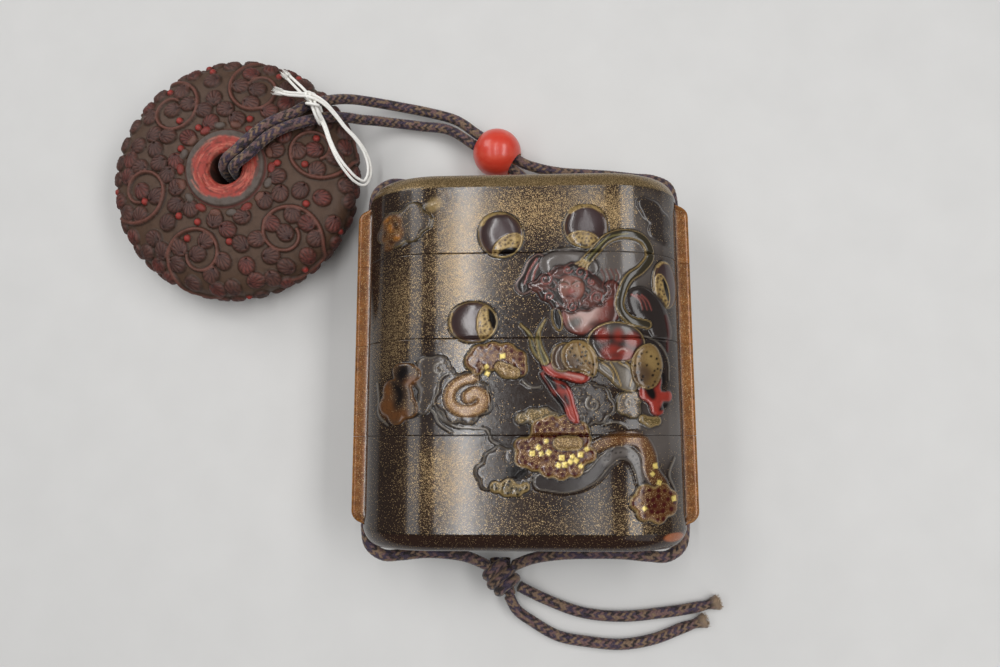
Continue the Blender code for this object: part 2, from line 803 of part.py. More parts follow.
def build_cords():
    silk = finish("silk", (0.1, 0.07, 0.11), 0.8)
    cotton = finish("cotton", (0.8, 0.8, 0.78), 0.9)
    past_bead = BEAD_DIAMETER / 2 + BEAD_LEAD
    build_knot(silk)
    runs = (
        ("cord_left", -1, LEFT_FROM_KNOT, LEFT_UNDER_BASE, LEFT_OVER_LID, LEFT_TO_BUTTON),
        ("cord_right", 1, RIGHT_FROM_KNOT, RIGHT_UNDER_BASE, RIGHT_OVER_LID, RIGHT_TO_BUTTON),
    )
    for name, side, way, under, over, onward in runs:
        points = [knot_exit(way), *millimetres(under), *in_channel(side), *millimetres(over)]
        points += [strand_in_bead(side, along) for along in (past_bead, 0, -past_bead)]
        points += millimetres(onward)
        add_cord(name, points, CORD_DIAMETER, silk)
    tails = (
        ("tail_upper", UPPER_TAIL_FROM_KNOT, UPPER_TAIL),
        ("tail_lower", LOWER_TAIL_FROM_KNOT, LOWER_TAIL),
    )
    for name, way, route in tails:
        add_cord(name, [knot_exit(way), *millimetres(route)], CORD_DIAMETER, silk)
    add_cord("tag_thread", millimetres(THREAD), THREAD_DIAMETER, cotton)


def main():
    for old in list(bpy.data.objects):
        bpy.data.objects.remove(old, do_unlink=True)
    build_case()
    build_button()
    build_bead()
    build_cords()


main()
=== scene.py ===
# %% [markdown]
# # A lacquer inro with its cord, bead and carved toggle
#
# An inro is a small case of stacked tiers that was worn hanging from a sash. A silk cord runs down through
# both of its sides, and a bead and a toggle sit on the cord's upper end. The solids of all the pieces come
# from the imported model. This lesson gives them their surfaces: raised and sprinkled lacquer on the case,
# carving on the toggle, a braid on the cord. Everything is in metres, in the model's own frame.

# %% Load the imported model
import math

import bmesh
import bpy
import numpy as np
from mathutils import Matrix, Vector


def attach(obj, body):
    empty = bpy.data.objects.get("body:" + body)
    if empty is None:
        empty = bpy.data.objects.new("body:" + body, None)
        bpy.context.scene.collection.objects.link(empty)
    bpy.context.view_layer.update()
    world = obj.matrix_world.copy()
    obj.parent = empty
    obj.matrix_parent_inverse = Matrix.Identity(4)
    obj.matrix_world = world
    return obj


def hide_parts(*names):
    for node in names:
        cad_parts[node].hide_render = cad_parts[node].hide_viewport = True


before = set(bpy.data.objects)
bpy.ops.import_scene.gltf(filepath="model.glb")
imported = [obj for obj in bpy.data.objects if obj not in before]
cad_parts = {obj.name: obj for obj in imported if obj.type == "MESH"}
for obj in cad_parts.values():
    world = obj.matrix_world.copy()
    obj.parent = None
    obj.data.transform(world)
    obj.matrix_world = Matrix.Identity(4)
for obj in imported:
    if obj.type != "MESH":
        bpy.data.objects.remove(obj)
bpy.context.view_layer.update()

MM = 0.001
print("nodes:", ", ".join(sorted(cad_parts)))

# %% [markdown]
# ## Camera
#
# The photograph looks down on the case from about 15 cm, tipped a little towards the lid. A camera is
# easiest to place by the way it looks: its own -Z axis points at the subject and its +Y axis is up in the
# picture.

# %% Camera at the photograph's viewing angle
CAMERA_PLACE = Vector((2.48, -15.79, 160.42)) * MM
CAMERA_LENS = 27.0
CAMERA_PITCH = math.radians(8.295)
CAMERA_YAW = math.radians(-2.703)
CAMERA_ROLL = math.radians(-0.097)


def new_object(name, data):
    """An object in the scene for a camera, a lamp or a mesh."""
    item = bpy.data.objects.new(name, data)
    bpy.context.scene.collection.objects.link(item)
    return item


def add_camera():
    away = Vector((
        math.sin(CAMERA_YAW) * math.cos(CAMERA_PITCH),
        math.sin(CAMERA_PITCH),
        -math.cos(CAMERA_YAW) * math.cos(CAMERA_PITCH),
    ))
    level = away.cross(Vector((0, 1, 0))).normalized()
    rise = level.cross(away)
    right = level * math.cos(CAMERA_ROLL) + rise * math.sin(CAMERA_ROLL)
    up = rise * math.cos(CAMERA_ROLL) - level * math.sin(CAMERA_ROLL)
    data = bpy.data.cameras.new("camera")
    data.lens = CAMERA_LENS
    data.clip_start = 5 * MM
    camera = new_object("camera", data)
    turn = Matrix((right, up, -away)).transposed()
    camera.matrix_world = Matrix.Translation(CAMERA_PLACE) @ turn.to_4x4()
    bpy.context.scene.camera = camera


add_camera()
print("camera at", tuple(round(x, 4) for x in CAMERA_PLACE))

# %% [markdown]
# ## Shader arithmetic
#
# A finish is easier to read as a sum than as a web of nodes. This class wraps one socket, so that Python's
# own operators add the Math nodes. Every other kind of node comes from one method.


# %% A socket that Python's operators work on
class Signal:
    """A shader socket. Arithmetic on it adds Math nodes, and add() makes any other node."""

    def __init__(self, tree, socket=None):
        self.tree = tree
        self.socket = socket

    def add(self, kind, settings=None, inputs=None, output=0):
        """One node: its settings first, then the values or links of its sockets."""
        node = self.tree.nodes.new(kind)
        for name, value in (settings or {}).items():
            setattr(node, name, value)
        for name, value in (inputs or {}).items():
            if isinstance(value, Signal):
                self.tree.links.new(value.socket, node.inputs[name])
            else:
                node.inputs[name].default_value = value
        return Signal(self.tree, node.outputs[output])

    def math(self, operation, *values, clamp=False):
        settings = {"operation": operation, "use_clamp": clamp}
        return self.add("ShaderNodeMath", settings, dict(enumerate(values)))

    def __add__(self, other):
        return self.math("ADD", self, other)

    def __sub__(self, other):
        return self.math("SUBTRACT", self, other)

    def __mul__(self, other):
        return self.math("MULTIPLY", self, other)

    def __lt__(self, other):
        return self.math("LESS_THAN", self, other)

    def clamped(self):
        return self.math("ADD", self, 0.0, clamp=True)

    def mixed(self, color, factor):
        """This colour, turned into the other one by the factor."""
        settings = {"data_type": "RGBA", "clamp_factor": True}
        return self.add("ShaderNodeMix", settings, {0: factor, 6: self, 7: color}, output=2)

    def attribute(self, name, output="Fac"):
        return self.add("ShaderNodeAttribute", {"attribute_name": name}, output=output)

    def plain(self, red, green, blue):
        """A screen colour that is the same everywhere."""
        color = self.add("ShaderNodeRGB")
        color.socket.default_value = rgba(red, green, blue)
        return color

    def place(self):
        return self.add("ShaderNodeTexCoord", output="Object")

    def noise(self, scale, detail=2.0, roughness=0.5, where=None):
        inputs = {"Scale": scale, "Detail": detail, "Roughness": roughness, "Vector": where or self.place()}
        return self.add("ShaderNodeTexNoise", None, inputs)

    def bump(self, height, distance, strength=1.0):
        inputs = {"Height": height, "Distance": distance, "Strength": strength}
        return self.add("ShaderNodeBump", None, inputs)


# %% Colours and finishes
def tint(red, green, blue):
    """A screen colour from 0 to 255 as the linear one that shaders use."""
    return tuple((part / 255) ** 2.2 for part in (red, green, blue))


def rgba(red, green, blue):
    """The same colour with the fourth value that colour sockets want."""
    return (*tint(red, green, blue), 1.0)


def new_finish(name, recipe, **constants):
    """A Principled material: constants are set on its sockets, and the recipe gives the ones that vary."""
    material = bpy.data.materials.new(name)
    material.use_nodes = True
    shader = material.node_tree.nodes["Principled BSDF"]
    for socket, value in constants.items():
        shader.inputs[socket.replace("_", " ")].default_value = value
    for socket, signal in recipe(Signal(material.node_tree)).items():
        material.node_tree.links.new(signal.socket, shader.inputs[socket])
    return material


# %% [markdown]
# ## Floor, light and air
#
# A plain pale sheet under the object, and soft lights. Glossy lacquer shows the lights' shapes, so two long
# narrow lamps stand over the case: they make the two bright bands that run down its front.

# %% Floor
FLOOR_SIZE = 4.0


def floor_recipe(sheet):
    grain = sheet.noise(90.0, 4.0)
    return {"Base Color": sheet.plain(208, 207, 205).mixed(rgba(200, 199, 197), grain)}


bpy.ops.object.select_all(action="DESELECT")
bpy.ops.mesh.primitive_plane_add(size=FLOOR_SIZE, location=(0, 0, 0))
floor = bpy.context.object
floor.name = "floor"
floor.data.materials.append(new_finish("paper_sheet", floor_recipe, Roughness=0.9, Specular_IOR_Level=0.2))

# %% Lamps
LAMPS = {
    # name: place and target in millimetres, size across and along in millimetres, watts
    "strip_left": ((-47, 30, 420), (-6, 0, 25), 12, 420, 0.5),
    "strip_right": ((42, 60, 420), (12, 0, 25), 14, 420, 0.15),
    "side_right": ((250, 20, 360), (18, 0, 25), 120, 420, 0.85),
    "side_left": ((-250, 20, 360), (-18, 0, 25), 110, 420, 0.4),
    "window": ((-360, 330, 330), (-20, 10, 10), 260, 260, 0.75),
    "fill": ((330, -260, 300), (0, 0, 10), 320, 320, 0.26),
}


def add_lamp(name, place, target, across, along, watts):
    """A lamp that faces its target, with its long side along the case."""
    data = bpy.data.lights.new(name, "AREA")
    data.shape = "RECTANGLE"
    data.size = across * MM
    data.size_y = along * MM
    data.energy = watts
    lamp = new_object(name, data)
    back = (Vector(place) - Vector(target)).normalized()
    side = Vector((0, 1, 0)).cross(back).normalized()
    turn = Matrix((side, back.cross(side), back)).transposed()
    lamp.matrix_world = Matrix.Translation(Vector(place) * MM) @ turn.to_4x4()


for lamp_name, settings in LAMPS.items():
    add_lamp(lamp_name, *settings)

ROOM_STRENGTH = 0.2

world = bpy.data.worlds.new("room")
bpy.context.scene.world = world
world.use_nodes = True
background = world.node_tree.nodes["Background"]
background.inputs["Color"].default_value = rgba(226, 228, 232)
background.inputs["Strength"].default_value = ROOM_STRENGTH
bpy.context.scene.view_settings.view_transform = "Standard"
print(len(LAMPS), "lamps")

# %% [markdown]
# ## Meshes from rings
#
# Most pieces here are sleeves: rings of points, one after another, joined by square faces. A relief is then
# a matter of moving ring points, and a colour is one value a point, kept as an attribute that the finish
# reads.


# %% Rings joined into a mesh
def ring_faces(rows, count, wrap=False):
    """Faces between rings of the same count, as point numbers."""
    row, column = np.meshgrid(np.arange(rows if wrap else rows - 1), np.arange(count), indexing="ij")
    after = (column + 1) % count
    below = (row + 1) % rows
    corners = (row * count + column, row * count + after, below * count + after, below * count + column)
    return np.stack(corners, axis=-1).reshape(-1, 4)


def turn_outward(mesh):
    """Flips all faces of a mesh that are wound to look inwards, which its volume tells."""
    shell = bmesh.new()
    shell.from_mesh(mesh)
    if shell.calc_volume(signed=True) < 0:
        mesh.flip_normals()
    shell.free()


def new_piece(name, points, faces, finish, slot, attributes=None, caps=()):
    """A mesh that rides on the object, with its values as point attributes."""
    mesh = bpy.data.meshes.new(name)
    mesh.from_pydata(points.tolist(), [], [*faces.tolist(), *[list(map(int, cap)) for cap in caps]])
    for key, values in (attributes or {}).items():
        kind = "FLOAT_COLOR" if values.ndim == 2 else "FLOAT"
        attribute = mesh.attributes.new(key, kind, "POINT")
        if values.ndim == 2:
            values = np.column_stack([values, np.ones(len(values))])
        attribute.data.foreach_set("color" if kind == "FLOAT_COLOR" else "value", values.ravel())
    turn_outward(mesh)
    mesh.materials.append(finish)
    mesh.shade_smooth()
    piece = new_object(name, mesh)
    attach(piece, "root")
    triangles = sum(len(face.vertices) - 2 for face in mesh.polygons)
    print(name, "has", triangles, "triangles")
    return piece


def chance(*numbers):
    """A repeatable random number from 0 to 1 for each set of whole numbers."""
    total = sum(number * factor for number, factor in zip(numbers, (12.9898, 78.233, 37.719)))
    return np.modf(np.abs(np.sin(total) * 43758.5453))[0]


def ramp(values, low, high):
    """0 below low, 1 above high, and a smooth rise between."""
    share = np.clip((values - low) / (high - low), 0, 1)
    return share * share * (3 - 2 * share)


def blended(values, other, share):
    """The values turned into the other ones, by a share from 0 to 1 for each point."""
    share = share[..., None] if values.ndim > share.ndim else share
    return values * (1 - share) + np.array(other) * share


# %% [markdown]
# ## The cord
#
# The cord is one length of braided silk, about 2.2 mm thick. It is knotted under the base, and each half
# runs up through a side of the case, over the lid, through the bead and into the toggle. Its two ends lie
# on the table. A curve alone would look like wire, so each run is a sleeve of rings along the route, and a
# formula for a round braid lifts and colours its stitches.

# %% Sizes that the cord shares with the solids
CORD_DIAMETER = 2.2 * MM
TOUCH_GAP = 0.3 * MM
MIDDLE = 12.8 * MM
CHANNEL_X = 30.4 * MM
CHANNEL_END = 32.0 * MM
KNOT_CENTRE = Vector((-4.7, -42.4, 4.6)) * MM
KNOT_SIZE = Vector((7.0, 7.8, 6.6)) * MM
BEAD_CENTRE = Vector((-5.4, 46.4, 5.2)) * MM
BEAD_RADIUS = 5.2 * MM
BEAD_BORE = 2.6 * MM
BEAD_TURN = math.radians(-34.4)
BEAD_LEAD = 0.6 * MM
STRAND_SPACING = 2.4 * MM
# Shares of a channel's and the bead's half length, close enough to keep the strands straight inside
IN_CHANNEL = (-1, -0.94, 0, 0.94, 1)
IN_BEAD = (1, 0.7, 0, -0.7, -1)


def knot_exit(direction):
    """Where a run of cord leaves the knot."""
    way = Vector(direction).normalized()
    half = KNOT_SIZE / 2
    reach = 1 / math.sqrt(sum((way[i] / half[i]) ** 2 for i in range(3)))
    return KNOT_CENTRE + way * (reach + TOUCH_GAP + CORD_DIAMETER / 4)


def in_bead(side, along):
    place = Vector((along, side * STRAND_SPACING / 2, 0))
    place.rotate(Matrix.Rotation(BEAD_TURN, 3, "Z"))
    return BEAD_CENTRE + place


# %% Routes, in millimetres
LEFT_UNDER_BASE = [
    (-10.8, -38.0, 9.0), (-15.0, -36.9, 11.4), (-19.5, -36.6, 12.6), (-23.5, -37.0, 12.8),
    (-27.2, -37.0, 12.8), (-29.6, -35.3, 12.8),
]
LEFT_OVER_LID = [
    (-29.6, 35.3, 12.8), (-27.2, 37.0, 12.8), (-23.5, 37.0, 12.6), (-16.0, 36.5, 11.0), (-9.0, 36.4, 9.0),
    (-2.6, 36.5, 7.0), (-0.4, 37.3, 6.2), (0.5, 39.0, 5.6), (0.2, 40.6, 5.3),
]
LEFT_TO_BUTTON = [
    (-16.3, 52.6, 3.8), (-22.3, 54.0, 2.7), (-26.8, 54.6, 2.9), (-29.8, 54.4, 4.4), (-32.3, 54.0, 6.2),
    (-34.5, 53.3, 8.4), (-36.6, 52.7, 10.8), (-38.7, 52.2, 12.5), (-40.9, 51.6, 13.7), (-44.9, 50.2, 15.0),
    (-48.9, 48.6, 15.7), (-52.2, 46.5, 16.1), (-54.5, 44.3, 16.2), (-56.3, 42.5, 16.3), (-58.1, 41.4, 15.9),
    (-59.7, 40.8, 14.2), (-60.3, 40.6, 11.2), (-60.3, 40.6, 6.0),
]
RIGHT_UNDER_BASE = [
    (1.4, -38.2, 9.0), (7.0, -37.0, 11.2), (13.0, -36.6, 12.4), (19.0, -36.6, 12.8), (23.5, -37.0, 12.8),
    (27.2, -37.0, 12.8), (29.6, -35.3, 12.8),
]
RIGHT_OVER_LID = [
    (29.5, 35.4, 12.8), (27.0, 37.1, 12.0), (23.5, 38.4, 9.8), (18.7, 40.2, 6.8), (13.5, 41.5, 4.6),
    (8.2, 42.3, 3.8), (3.2, 43.2, 4.4),
]
RIGHT_TO_BUTTON = [
    (-13.9, 54.3, 4.1), (-21.4, 57.3, 2.8), (-26.9, 58.6, 2.7), (-30.7, 58.9, 3.9), (-33.9, 58.8, 5.6),
    (-36.7, 58.1, 8.2), (-38.9, 57.0, 10.7), (-41.1, 55.8, 12.6), (-43.7, 54.7, 13.9), (-47.6, 51.9, 15.2),
    (-51.5, 49.9, 15.9), (-54.6, 47.6, 16.2), (-56.8, 45.5, 16.3), (-58.7, 43.8, 16.0), (-60.7, 42.6, 15.2),
    (-62.1, 41.6, 13.5), (-62.7, 41.0, 10.8), (-62.7, 41.0, 6.0),
]
UPPER_TAIL = [
    (0.6, -45.4, 2.6), (4.6, -47.4, 1.5), (11.5, -49.8, 1.2), (19.4, -50.5, 1.2), (27.0, -49.8, 1.2),
    (33.6, -48.8, 1.2), (38.8, -47.6, 1.3),
]
LOWER_TAIL = [
    (-1.7, -49.2, 2.0), (1.6, -51.7, 1.3), (6.4, -54.3, 1.2), (13.0, -55.5, 1.2), (19.2, -55.9, 1.2),
    (25.8, -54.8, 1.2), (31.9, -52.5, 1.2), (36.1, -51.1, 1.3),
]
THREAD = [
    (-49.7, 61.4, 13.4), (-47.1, 58.5, 15.0), (-44.7, 55.8, 16.3), (-42.9, 53.6, 17.0), (-41.6, 51.2, 16.6),
    (-40.5, 49.0, 15.8), (-39.4, 45.8, 15.0), (-38.0, 42.7, 14.0), (-36.2, 40.2, 12.6), (-34.7, 38.8, 11.2),
    (-33.2, 38.5, 10.0), (-32.4, 39.9, 9.8), (-32.2, 42.1, 10.2), (-32.9, 44.6, 11.2), (-34.5, 47.0, 13.0),
    (-36.5, 49.0, 14.6), (-38.3, 51.2, 16.0), (-40.1, 52.9, 17.6), (-42.3, 54.0, 18.6), (-44.9, 54.7, 17.9),
    (-48.0, 55.7, 16.4), (-50.7, 56.8, 15.4),
]


def metres(points):
    return [Vector(point) * MM for point in points]


def whole_run(side, leaves_knot, under_base, over_lid, onward):
    """One half of the cord, from the knot to the inside of the toggle."""
    channel = [Vector((side * CHANNEL_X, share * CHANNEL_END, MIDDLE)) for share in IN_CHANNEL]
    bead = [in_bead(side, share * (BEAD_RADIUS + BEAD_LEAD)) for share in IN_BEAD]
    return [knot_exit(leaves_knot), *metres(under_base), *channel, *metres(over_lid), *bead, *metres(onward)]


ROUTES = {
    "left": whole_run(-1, (-0.6, 0.58, 0.5), LEFT_UNDER_BASE, LEFT_OVER_LID, LEFT_TO_BUTTON),
    "right": whole_run(1, (0.6, 0.58, 0.5), RIGHT_UNDER_BASE, RIGHT_OVER_LID, RIGHT_TO_BUTTON),
    "tail_upper": [knot_exit((0.7, -0.4, -0.3)), *metres(UPPER_TAIL)],
    "tail_lower": [knot_exit((0.3, -0.8, -0.35)), *metres(LOWER_TAIL)],
    "thread": metres(THREAD),
}


# %% A smooth line through the points of a route
def smooth_path(route, step, closed=False):
    """Points a step apart on a smooth curve through the route."""
    points = np.array(route, float)
    if closed:
        points = np.vstack([points, points[:1]])
    gaps = np.linalg.norm(np.diff(points, axis=0), axis=1)[:, None]
    ways = np.diff(points, axis=0) / gaps
    heading = np.vstack([ways[:1], ways[:-1] * gaps[1:] + ways[1:] * gaps[:-1], ways[-1:]])
    if closed:
        heading[0] = heading[-1] = ways[0] * gaps[-1] + ways[-1] * gaps[0]
    heading /= np.linalg.norm(heading, axis=1)[:, None]
    t = np.linspace(0, 1, 40, endpoint=False)[:, None]
    curve = []
    for i, gap in enumerate(gaps):
        start, end = points[i], points[i + 1]
        curve.append(
            start * (2 * t ** 3 - 3 * t ** 2 + 1) + end * (3 * t ** 2 - 2 * t ** 3)
            + heading[i] * gap * (t ** 3 - 2 * t ** 2 + t) + heading[i + 1] * gap * (t ** 3 - t ** 2)
        )
    fine = np.vstack([*curve, points[-1:]])
    along = np.concatenate([[0], np.cumsum(np.linalg.norm(np.diff(fine, axis=0), axis=1))])
    even = np.linspace(0, along[-1], max(int(along[-1] / step), 2) + 1)
    return np.column_stack([np.interp(even, along, fine[:, axis]) for axis in range(fine.shape[1])]), even


for route_name, route in ROUTES.items():
    print(route_name, "is", round(smooth_path(route, MM)[1][-1] / MM, 1), "mm long")


# %% Sleeves along a path
def turning_frames(path):
    """A sideways and an upward direction at each point, which turn as little as they can."""
    ways = np.gradient(path, axis=0)
    ways /= np.linalg.norm(ways, axis=1)[:, None]
    side = np.cross(ways[0], (0.0, 0.0, 1.0))
    if np.linalg.norm(side) < 0.1:
        side = np.cross(ways[0], (0.0, 1.0, 0.0))
    sides = []
    for way in ways:
        side = side - way * (side @ way)
        side = side / np.linalg.norm(side)
        sides.append(side)
    sides = np.array(sides)
    return sides, np.cross(sides, ways)


def sleeve(path, radii, sides):
    """Rings round a path. Radii has a row for each path point and a column for each side."""
    across, up = turning_frames(path)
    turn = np.linspace(0, math.tau, sides, endpoint=False)
    spokes = across[:, None] * np.cos(turn)[None, :, None] + up[:, None] * np.sin(turn)[None, :, None]
    return (path[:, None] + spokes * radii[:, :, None]).reshape(-1, 3)


def end_caps(rows, count):
    return [range(count - 1, -1, -1), range((rows - 1) * count, rows * count)]


def joined(parts):
    """Several (points, faces) as one pair, in which each part's faces are counted on from the last part."""
    starts = np.cumsum([0, *[len(points) for points, faces in parts]])
    all_faces = [faces + start for (points, faces), start in zip(parts, starts)]
    return np.vstack([points for points, faces in parts]), np.vstack(all_faces)


# %% The braid's stitches
BRAID_COLUMNS = 10
BRAID_SIDES = 32
BRAID_STEP = 0.14 * MM
STITCH_LENGTH = 0.72 * MM
STITCH_RELIEF = 0.14 * MM
SILK_PURPLE = tint(60, 50, 68)
SILK_DARK = tint(38, 31, 35)
SILK_TAN = tint(124, 101, 82)
SILK_ROSE = tint(110, 84, 82)


def braid(sides, along, seed):
    """Height (0 to 1) and colour of each point on a sleeve of braid."""
    around = np.arange(sides) / sides * BRAID_COLUMNS
    column = np.floor(around)[None, :] + 0 * along[:, None]
    across = (around - np.floor(around))[None, :] + 0 * along[:, None]
    lean = np.where(column % 2 == 0, across, 1 - across)
    stitch = along[:, None] / STITCH_LENGTH + lean * 0.8 + column * 0.37
    row = np.floor(stitch)
    inside = stitch - row
    height = np.sqrt(np.clip(1 - (2 * inside - 1) ** 2, 0, 1)) * (1 - 0.5 * (2 * across - 1) ** 4)
    pick = chance(column, row, np.full_like(row, seed))
    light = ((column + row) % 2 == 1) ^ (pick > 0.8)
    shade = chance(row, column, np.full_like(row, seed + 1))
    color = np.where(shade[..., None] < 0.6, SILK_PURPLE, SILK_DARK)
    color = np.where(light[..., None], SILK_TAN, color)
    color = np.where((light & (shade > 0.55))[..., None], SILK_ROSE, color)
    # Painted shade: each stitch's colour darkens towards the grooves between stitches
    color = color * (0.3 + 0.7 * height[..., None])
    return height, color


def silk_recipe(silk):
    stitches = silk.attribute("braid", "Color")
    fibre = silk.noise(5200.0, 4.0, 0.7)
    patch = silk.noise(420.0, 2.0)
    worn = stitches.mixed(rgba(168, 140, 118), (fibre - 0.52).clamped() * 2.0)
    shaded = worn.mixed(rgba(40, 32, 56), (patch - 0.5).clamped() * 1.6)
    return {"Base Color": shaded, "Normal": silk.bump(fibre, 0.00012, 0.6)}


silk_finish = new_finish(
    "braided_silk",
    silk_recipe,
    Roughness=0.72,
    Specular_IOR_Level=0.35,
    Sheen_Weight=0.25,
    Sheen_Roughness=0.4,
)


def braided_sleeve(path, along, seed, taper=None, closed=False):
    """Points, faces and colours of a braided run. Taper scales the radius at each path point."""
    height, color = braid(BRAID_SIDES, along, seed)
    radii = CORD_DIAMETER / 2 - STITCH_RELIEF + STITCH_RELIEF * height
    if taper is not None:
        radii = radii * taper[:, None]
    points = sleeve(path, radii, BRAID_SIDES)
    return points, ring_faces(len(path), BRAID_SIDES, wrap=closed), color.reshape(-1, 3)


# %% [markdown]
# The knot is two strands drawn tight round each other. Three slanting turns of the same braid, side by side
# over a filled middle, give its bulk and its diagonal bands.

# %% Knot under the base
KNOT_TURNS = ((-1.9, 2.0, 1.9), (0.0, 2.35, 2.1), (1.9, 2.0, 1.9))
KNOT_SLANT = math.radians(38)
# Two short runs fill the knot's middle: their places from top to bottom, and how far each is off the centre
KNOT_FILLING = ((-0.2, 3.6, 0.6), (0.0, 0.0, 0.0), (0.8, -3.4, -0.8))
FILLING_OFFSET = 1.0


def knot_turn(offset, wide, deep):
    """A closed oval of cord round the knot, slanting up to the right."""
    run = Vector((math.cos(KNOT_SLANT), math.sin(KNOT_SLANT), 0))
    stack = Vector((-math.sin(KNOT_SLANT), math.cos(KNOT_SLANT), 0))
    route = []
    for step in range(12):
        angle = math.tau * step / 12
        place = run * wide * math.cos(angle) + Vector((0, 0, deep * math.sin(angle)))
        route.append(KNOT_CENTRE + (place + stack * (offset + 0.35 * math.sin(angle))) * MM)
    return route


def add_knot():
    runs = []
    for number, turn in enumerate(KNOT_TURNS):
        path, along = smooth_path(knot_turn(*turn), BRAID_STEP, closed=True)
        runs.append(braided_sleeve(path[:-1], along[:-1], 20 + number, closed=True))
    for number, side in enumerate((-1, 1)):
        shift = np.array((side * FILLING_OFFSET, 0, 0))
        route = [np.array(KNOT_CENTRE) + (np.array(place) + shift) * MM for place in KNOT_FILLING]
        path, along = smooth_path(route, BRAID_STEP)
        runs.append(braided_sleeve(path, along, 30 + number))
    points, faces = joined([(points, faces) for points, faces, color in runs])
    colors = np.vstack([color for points, faces, color in runs])
    piece = new_piece("silk_knot", points, faces, silk_finish, "silk", {"braid": colors})
    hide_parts("cord_knot")
    return piece


silk_knot = add_knot()

# %% [markdown]
# Each half of the cord leaves the knot and runs through a rib to the toggle.


def add_half(side, seed):
    path, along = smooth_path(ROUTES[side], BRAID_STEP)
    points, faces, color = braided_sleeve(path, along, seed)
    caps = end_caps(len(path), BRAID_SIDES)
    piece = new_piece("silk_" + side, points, faces, silk_finish, "silk", {"braid": color}, caps)
    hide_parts("cord_" + side)


add_half("left", 3)
add_half("right", 7)

# %% [markdown]
# The tails end in cut silk. The braid is drawn in just before the end, and then the loose fibres spread
# like a small brush. The sleeve narrows and flares, and short fibres stand out of it.

# %% Tails with frayed ends
FRAY_LENGTH = 3.4 * MM
FRAY_FIBRES = 90
FRAY_COLOR = 0.75
FIBRE_RADIUS = 0.07 * MM
FIBRE_LENGTH = 1.6 * MM
FIBRE_SPREAD = CORD_DIAMETER * 0.66
LEAST_HEIGHT = 0.05 * MM
CUT_SILK = tint(150, 128, 104)
LOOSE_SILK = tint(168, 146, 120)


def fray(along):
    """How much the braid is drawn in and flared near its cut end."""
    left = (along[-1] - along) / FRAY_LENGTH
    return 1 - 0.16 * np.exp(-((left - 0.75) / 0.3) ** 2) + 0.42 * np.clip(1 - left / 0.55, 0, 1) ** 1.3


def fibre_bundle(end, way, seed, count, length, spread, radius):
    """Short fibres that fan out from a cut end, as three-sided needles."""
    rng = np.random.default_rng(seed)
    side = np.cross(way, (0.0, 0.0, 1.0))
    side /= np.linalg.norm(side)
    up = np.cross(side, way)
    points, faces = [], []
    for number in range(count):
        turn, out = rng.uniform(0, math.tau), math.sqrt(rng.uniform(0, 1))
        spoke = side * math.cos(turn) + up * math.sin(turn)
        root = end + spoke * out * spread * 0.75 - way * length * 0.5
        tip = end + spoke * out * spread + way * length * rng.uniform(0.1, 0.5)
        for share, place in ((1.0, root), (0.6, tip)):
            for corner in range(3):
                angle = turn + corner * math.tau / 3
                points.append(place + (side * math.cos(angle) + up * math.sin(angle)) * radius * share)
        base = number * 6
        faces += [(base, base + 1, base + 4, base + 3), (base + 1, base + 2, base + 5, base + 4)]
        faces += [(base + 2, base, base + 3, base + 5)]
    return np.array(points), np.array(faces)


def add_tail(name, seed):
    path, along = smooth_path(ROUTES[name], BRAID_STEP)
    points, faces, color = braided_sleeve(path, along, seed, fray(along))
    cut = np.repeat(ramp(along, along[-1] - FRAY_LENGTH * 0.6, along[-1] - FRAY_LENGTH * 0.1), BRAID_SIDES)
    color = blended(color, CUT_SILK, FRAY_COLOR * cut)
    way = path[-1] - path[-6]
    way /= np.linalg.norm(way)
    needles = fibre_bundle(path[-1], way, seed, FRAY_FIBRES, FIBRE_LENGTH, FIBRE_SPREAD, FIBRE_RADIUS)
    points, faces = joined([(points, faces), needles])
    points[:, 2] = np.maximum(points[:, 2], LEAST_HEIGHT)
    color = np.vstack([color, np.tile(LOOSE_SILK, (len(points) - len(color), 1))])
    caps = end_caps(len(path), BRAID_SIDES)
    piece = new_piece("silk_" + name, points, faces, silk_finish, "silk", {"braid": color}, caps)
    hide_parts(name)


add_tail("tail_upper", 11)
add_tail("tail_lower", 13)

# %% [markdown]
# A doubled white cotton thread is tied round both strands on the toggle. Its mesh is two twisted strands
# that lie side by side, with a small knot and loose ends.

# %% Cotton thread
COTTON_RADIUS = 0.31 * MM
COTTON_SIDES = 10
COTTON_STEP = 0.12 * MM
COTTON_PITCH = 1.1 * MM
COTTON_APART = 0.33 * MM
COTTON_SWAY = 0.14 * MM
COTTON_WAVE = 4 * MM
COTTON_FIBRES = 90
THREAD_KNOT = Vector((-42.7, 53.9, 17.9)) * MM
THREAD_TURNS = (
    # shift from the knot's middle, axle, half wide, half deep
    ((0.9, -1.2, -2.3), (0.95, 0.3, 0.0), 3.1, 2.7),
    ((0.2, -1.5, -2.3), (0.95, 0.3, 0.0), 3.1, 2.7),
    ((0.0, 0.1, 0.2), (1.0, -0.6, 0.2), 0.75, 0.75),
    ((0.3, -0.4, 0.5), (0.3, 0.9, 0.1), 0.8, 0.7),
    ((-0.3, 0.4, 0.4), (0.6, 0.2, 0.7), 0.75, 0.75),
    ((0.5, -1.7, 0.7), (0.2, 1.0, 0.3), 1.25, 0.6),
)


def cotton_recipe(cotton):
    fibre = cotton.noise(7000.0, 3.0, 0.6)
    color = cotton.plain(240, 238, 232).mixed(rgba(206, 200, 190), (fibre - 0.45).clamped() * 2.0)
    return {"Base Color": color, "Normal": cotton.bump(fibre, 0.00008, 0.6)}


cotton_finish = new_finish("twisted_cotton", cotton_recipe, Roughness=0.85, Sheen_Weight=0.2)


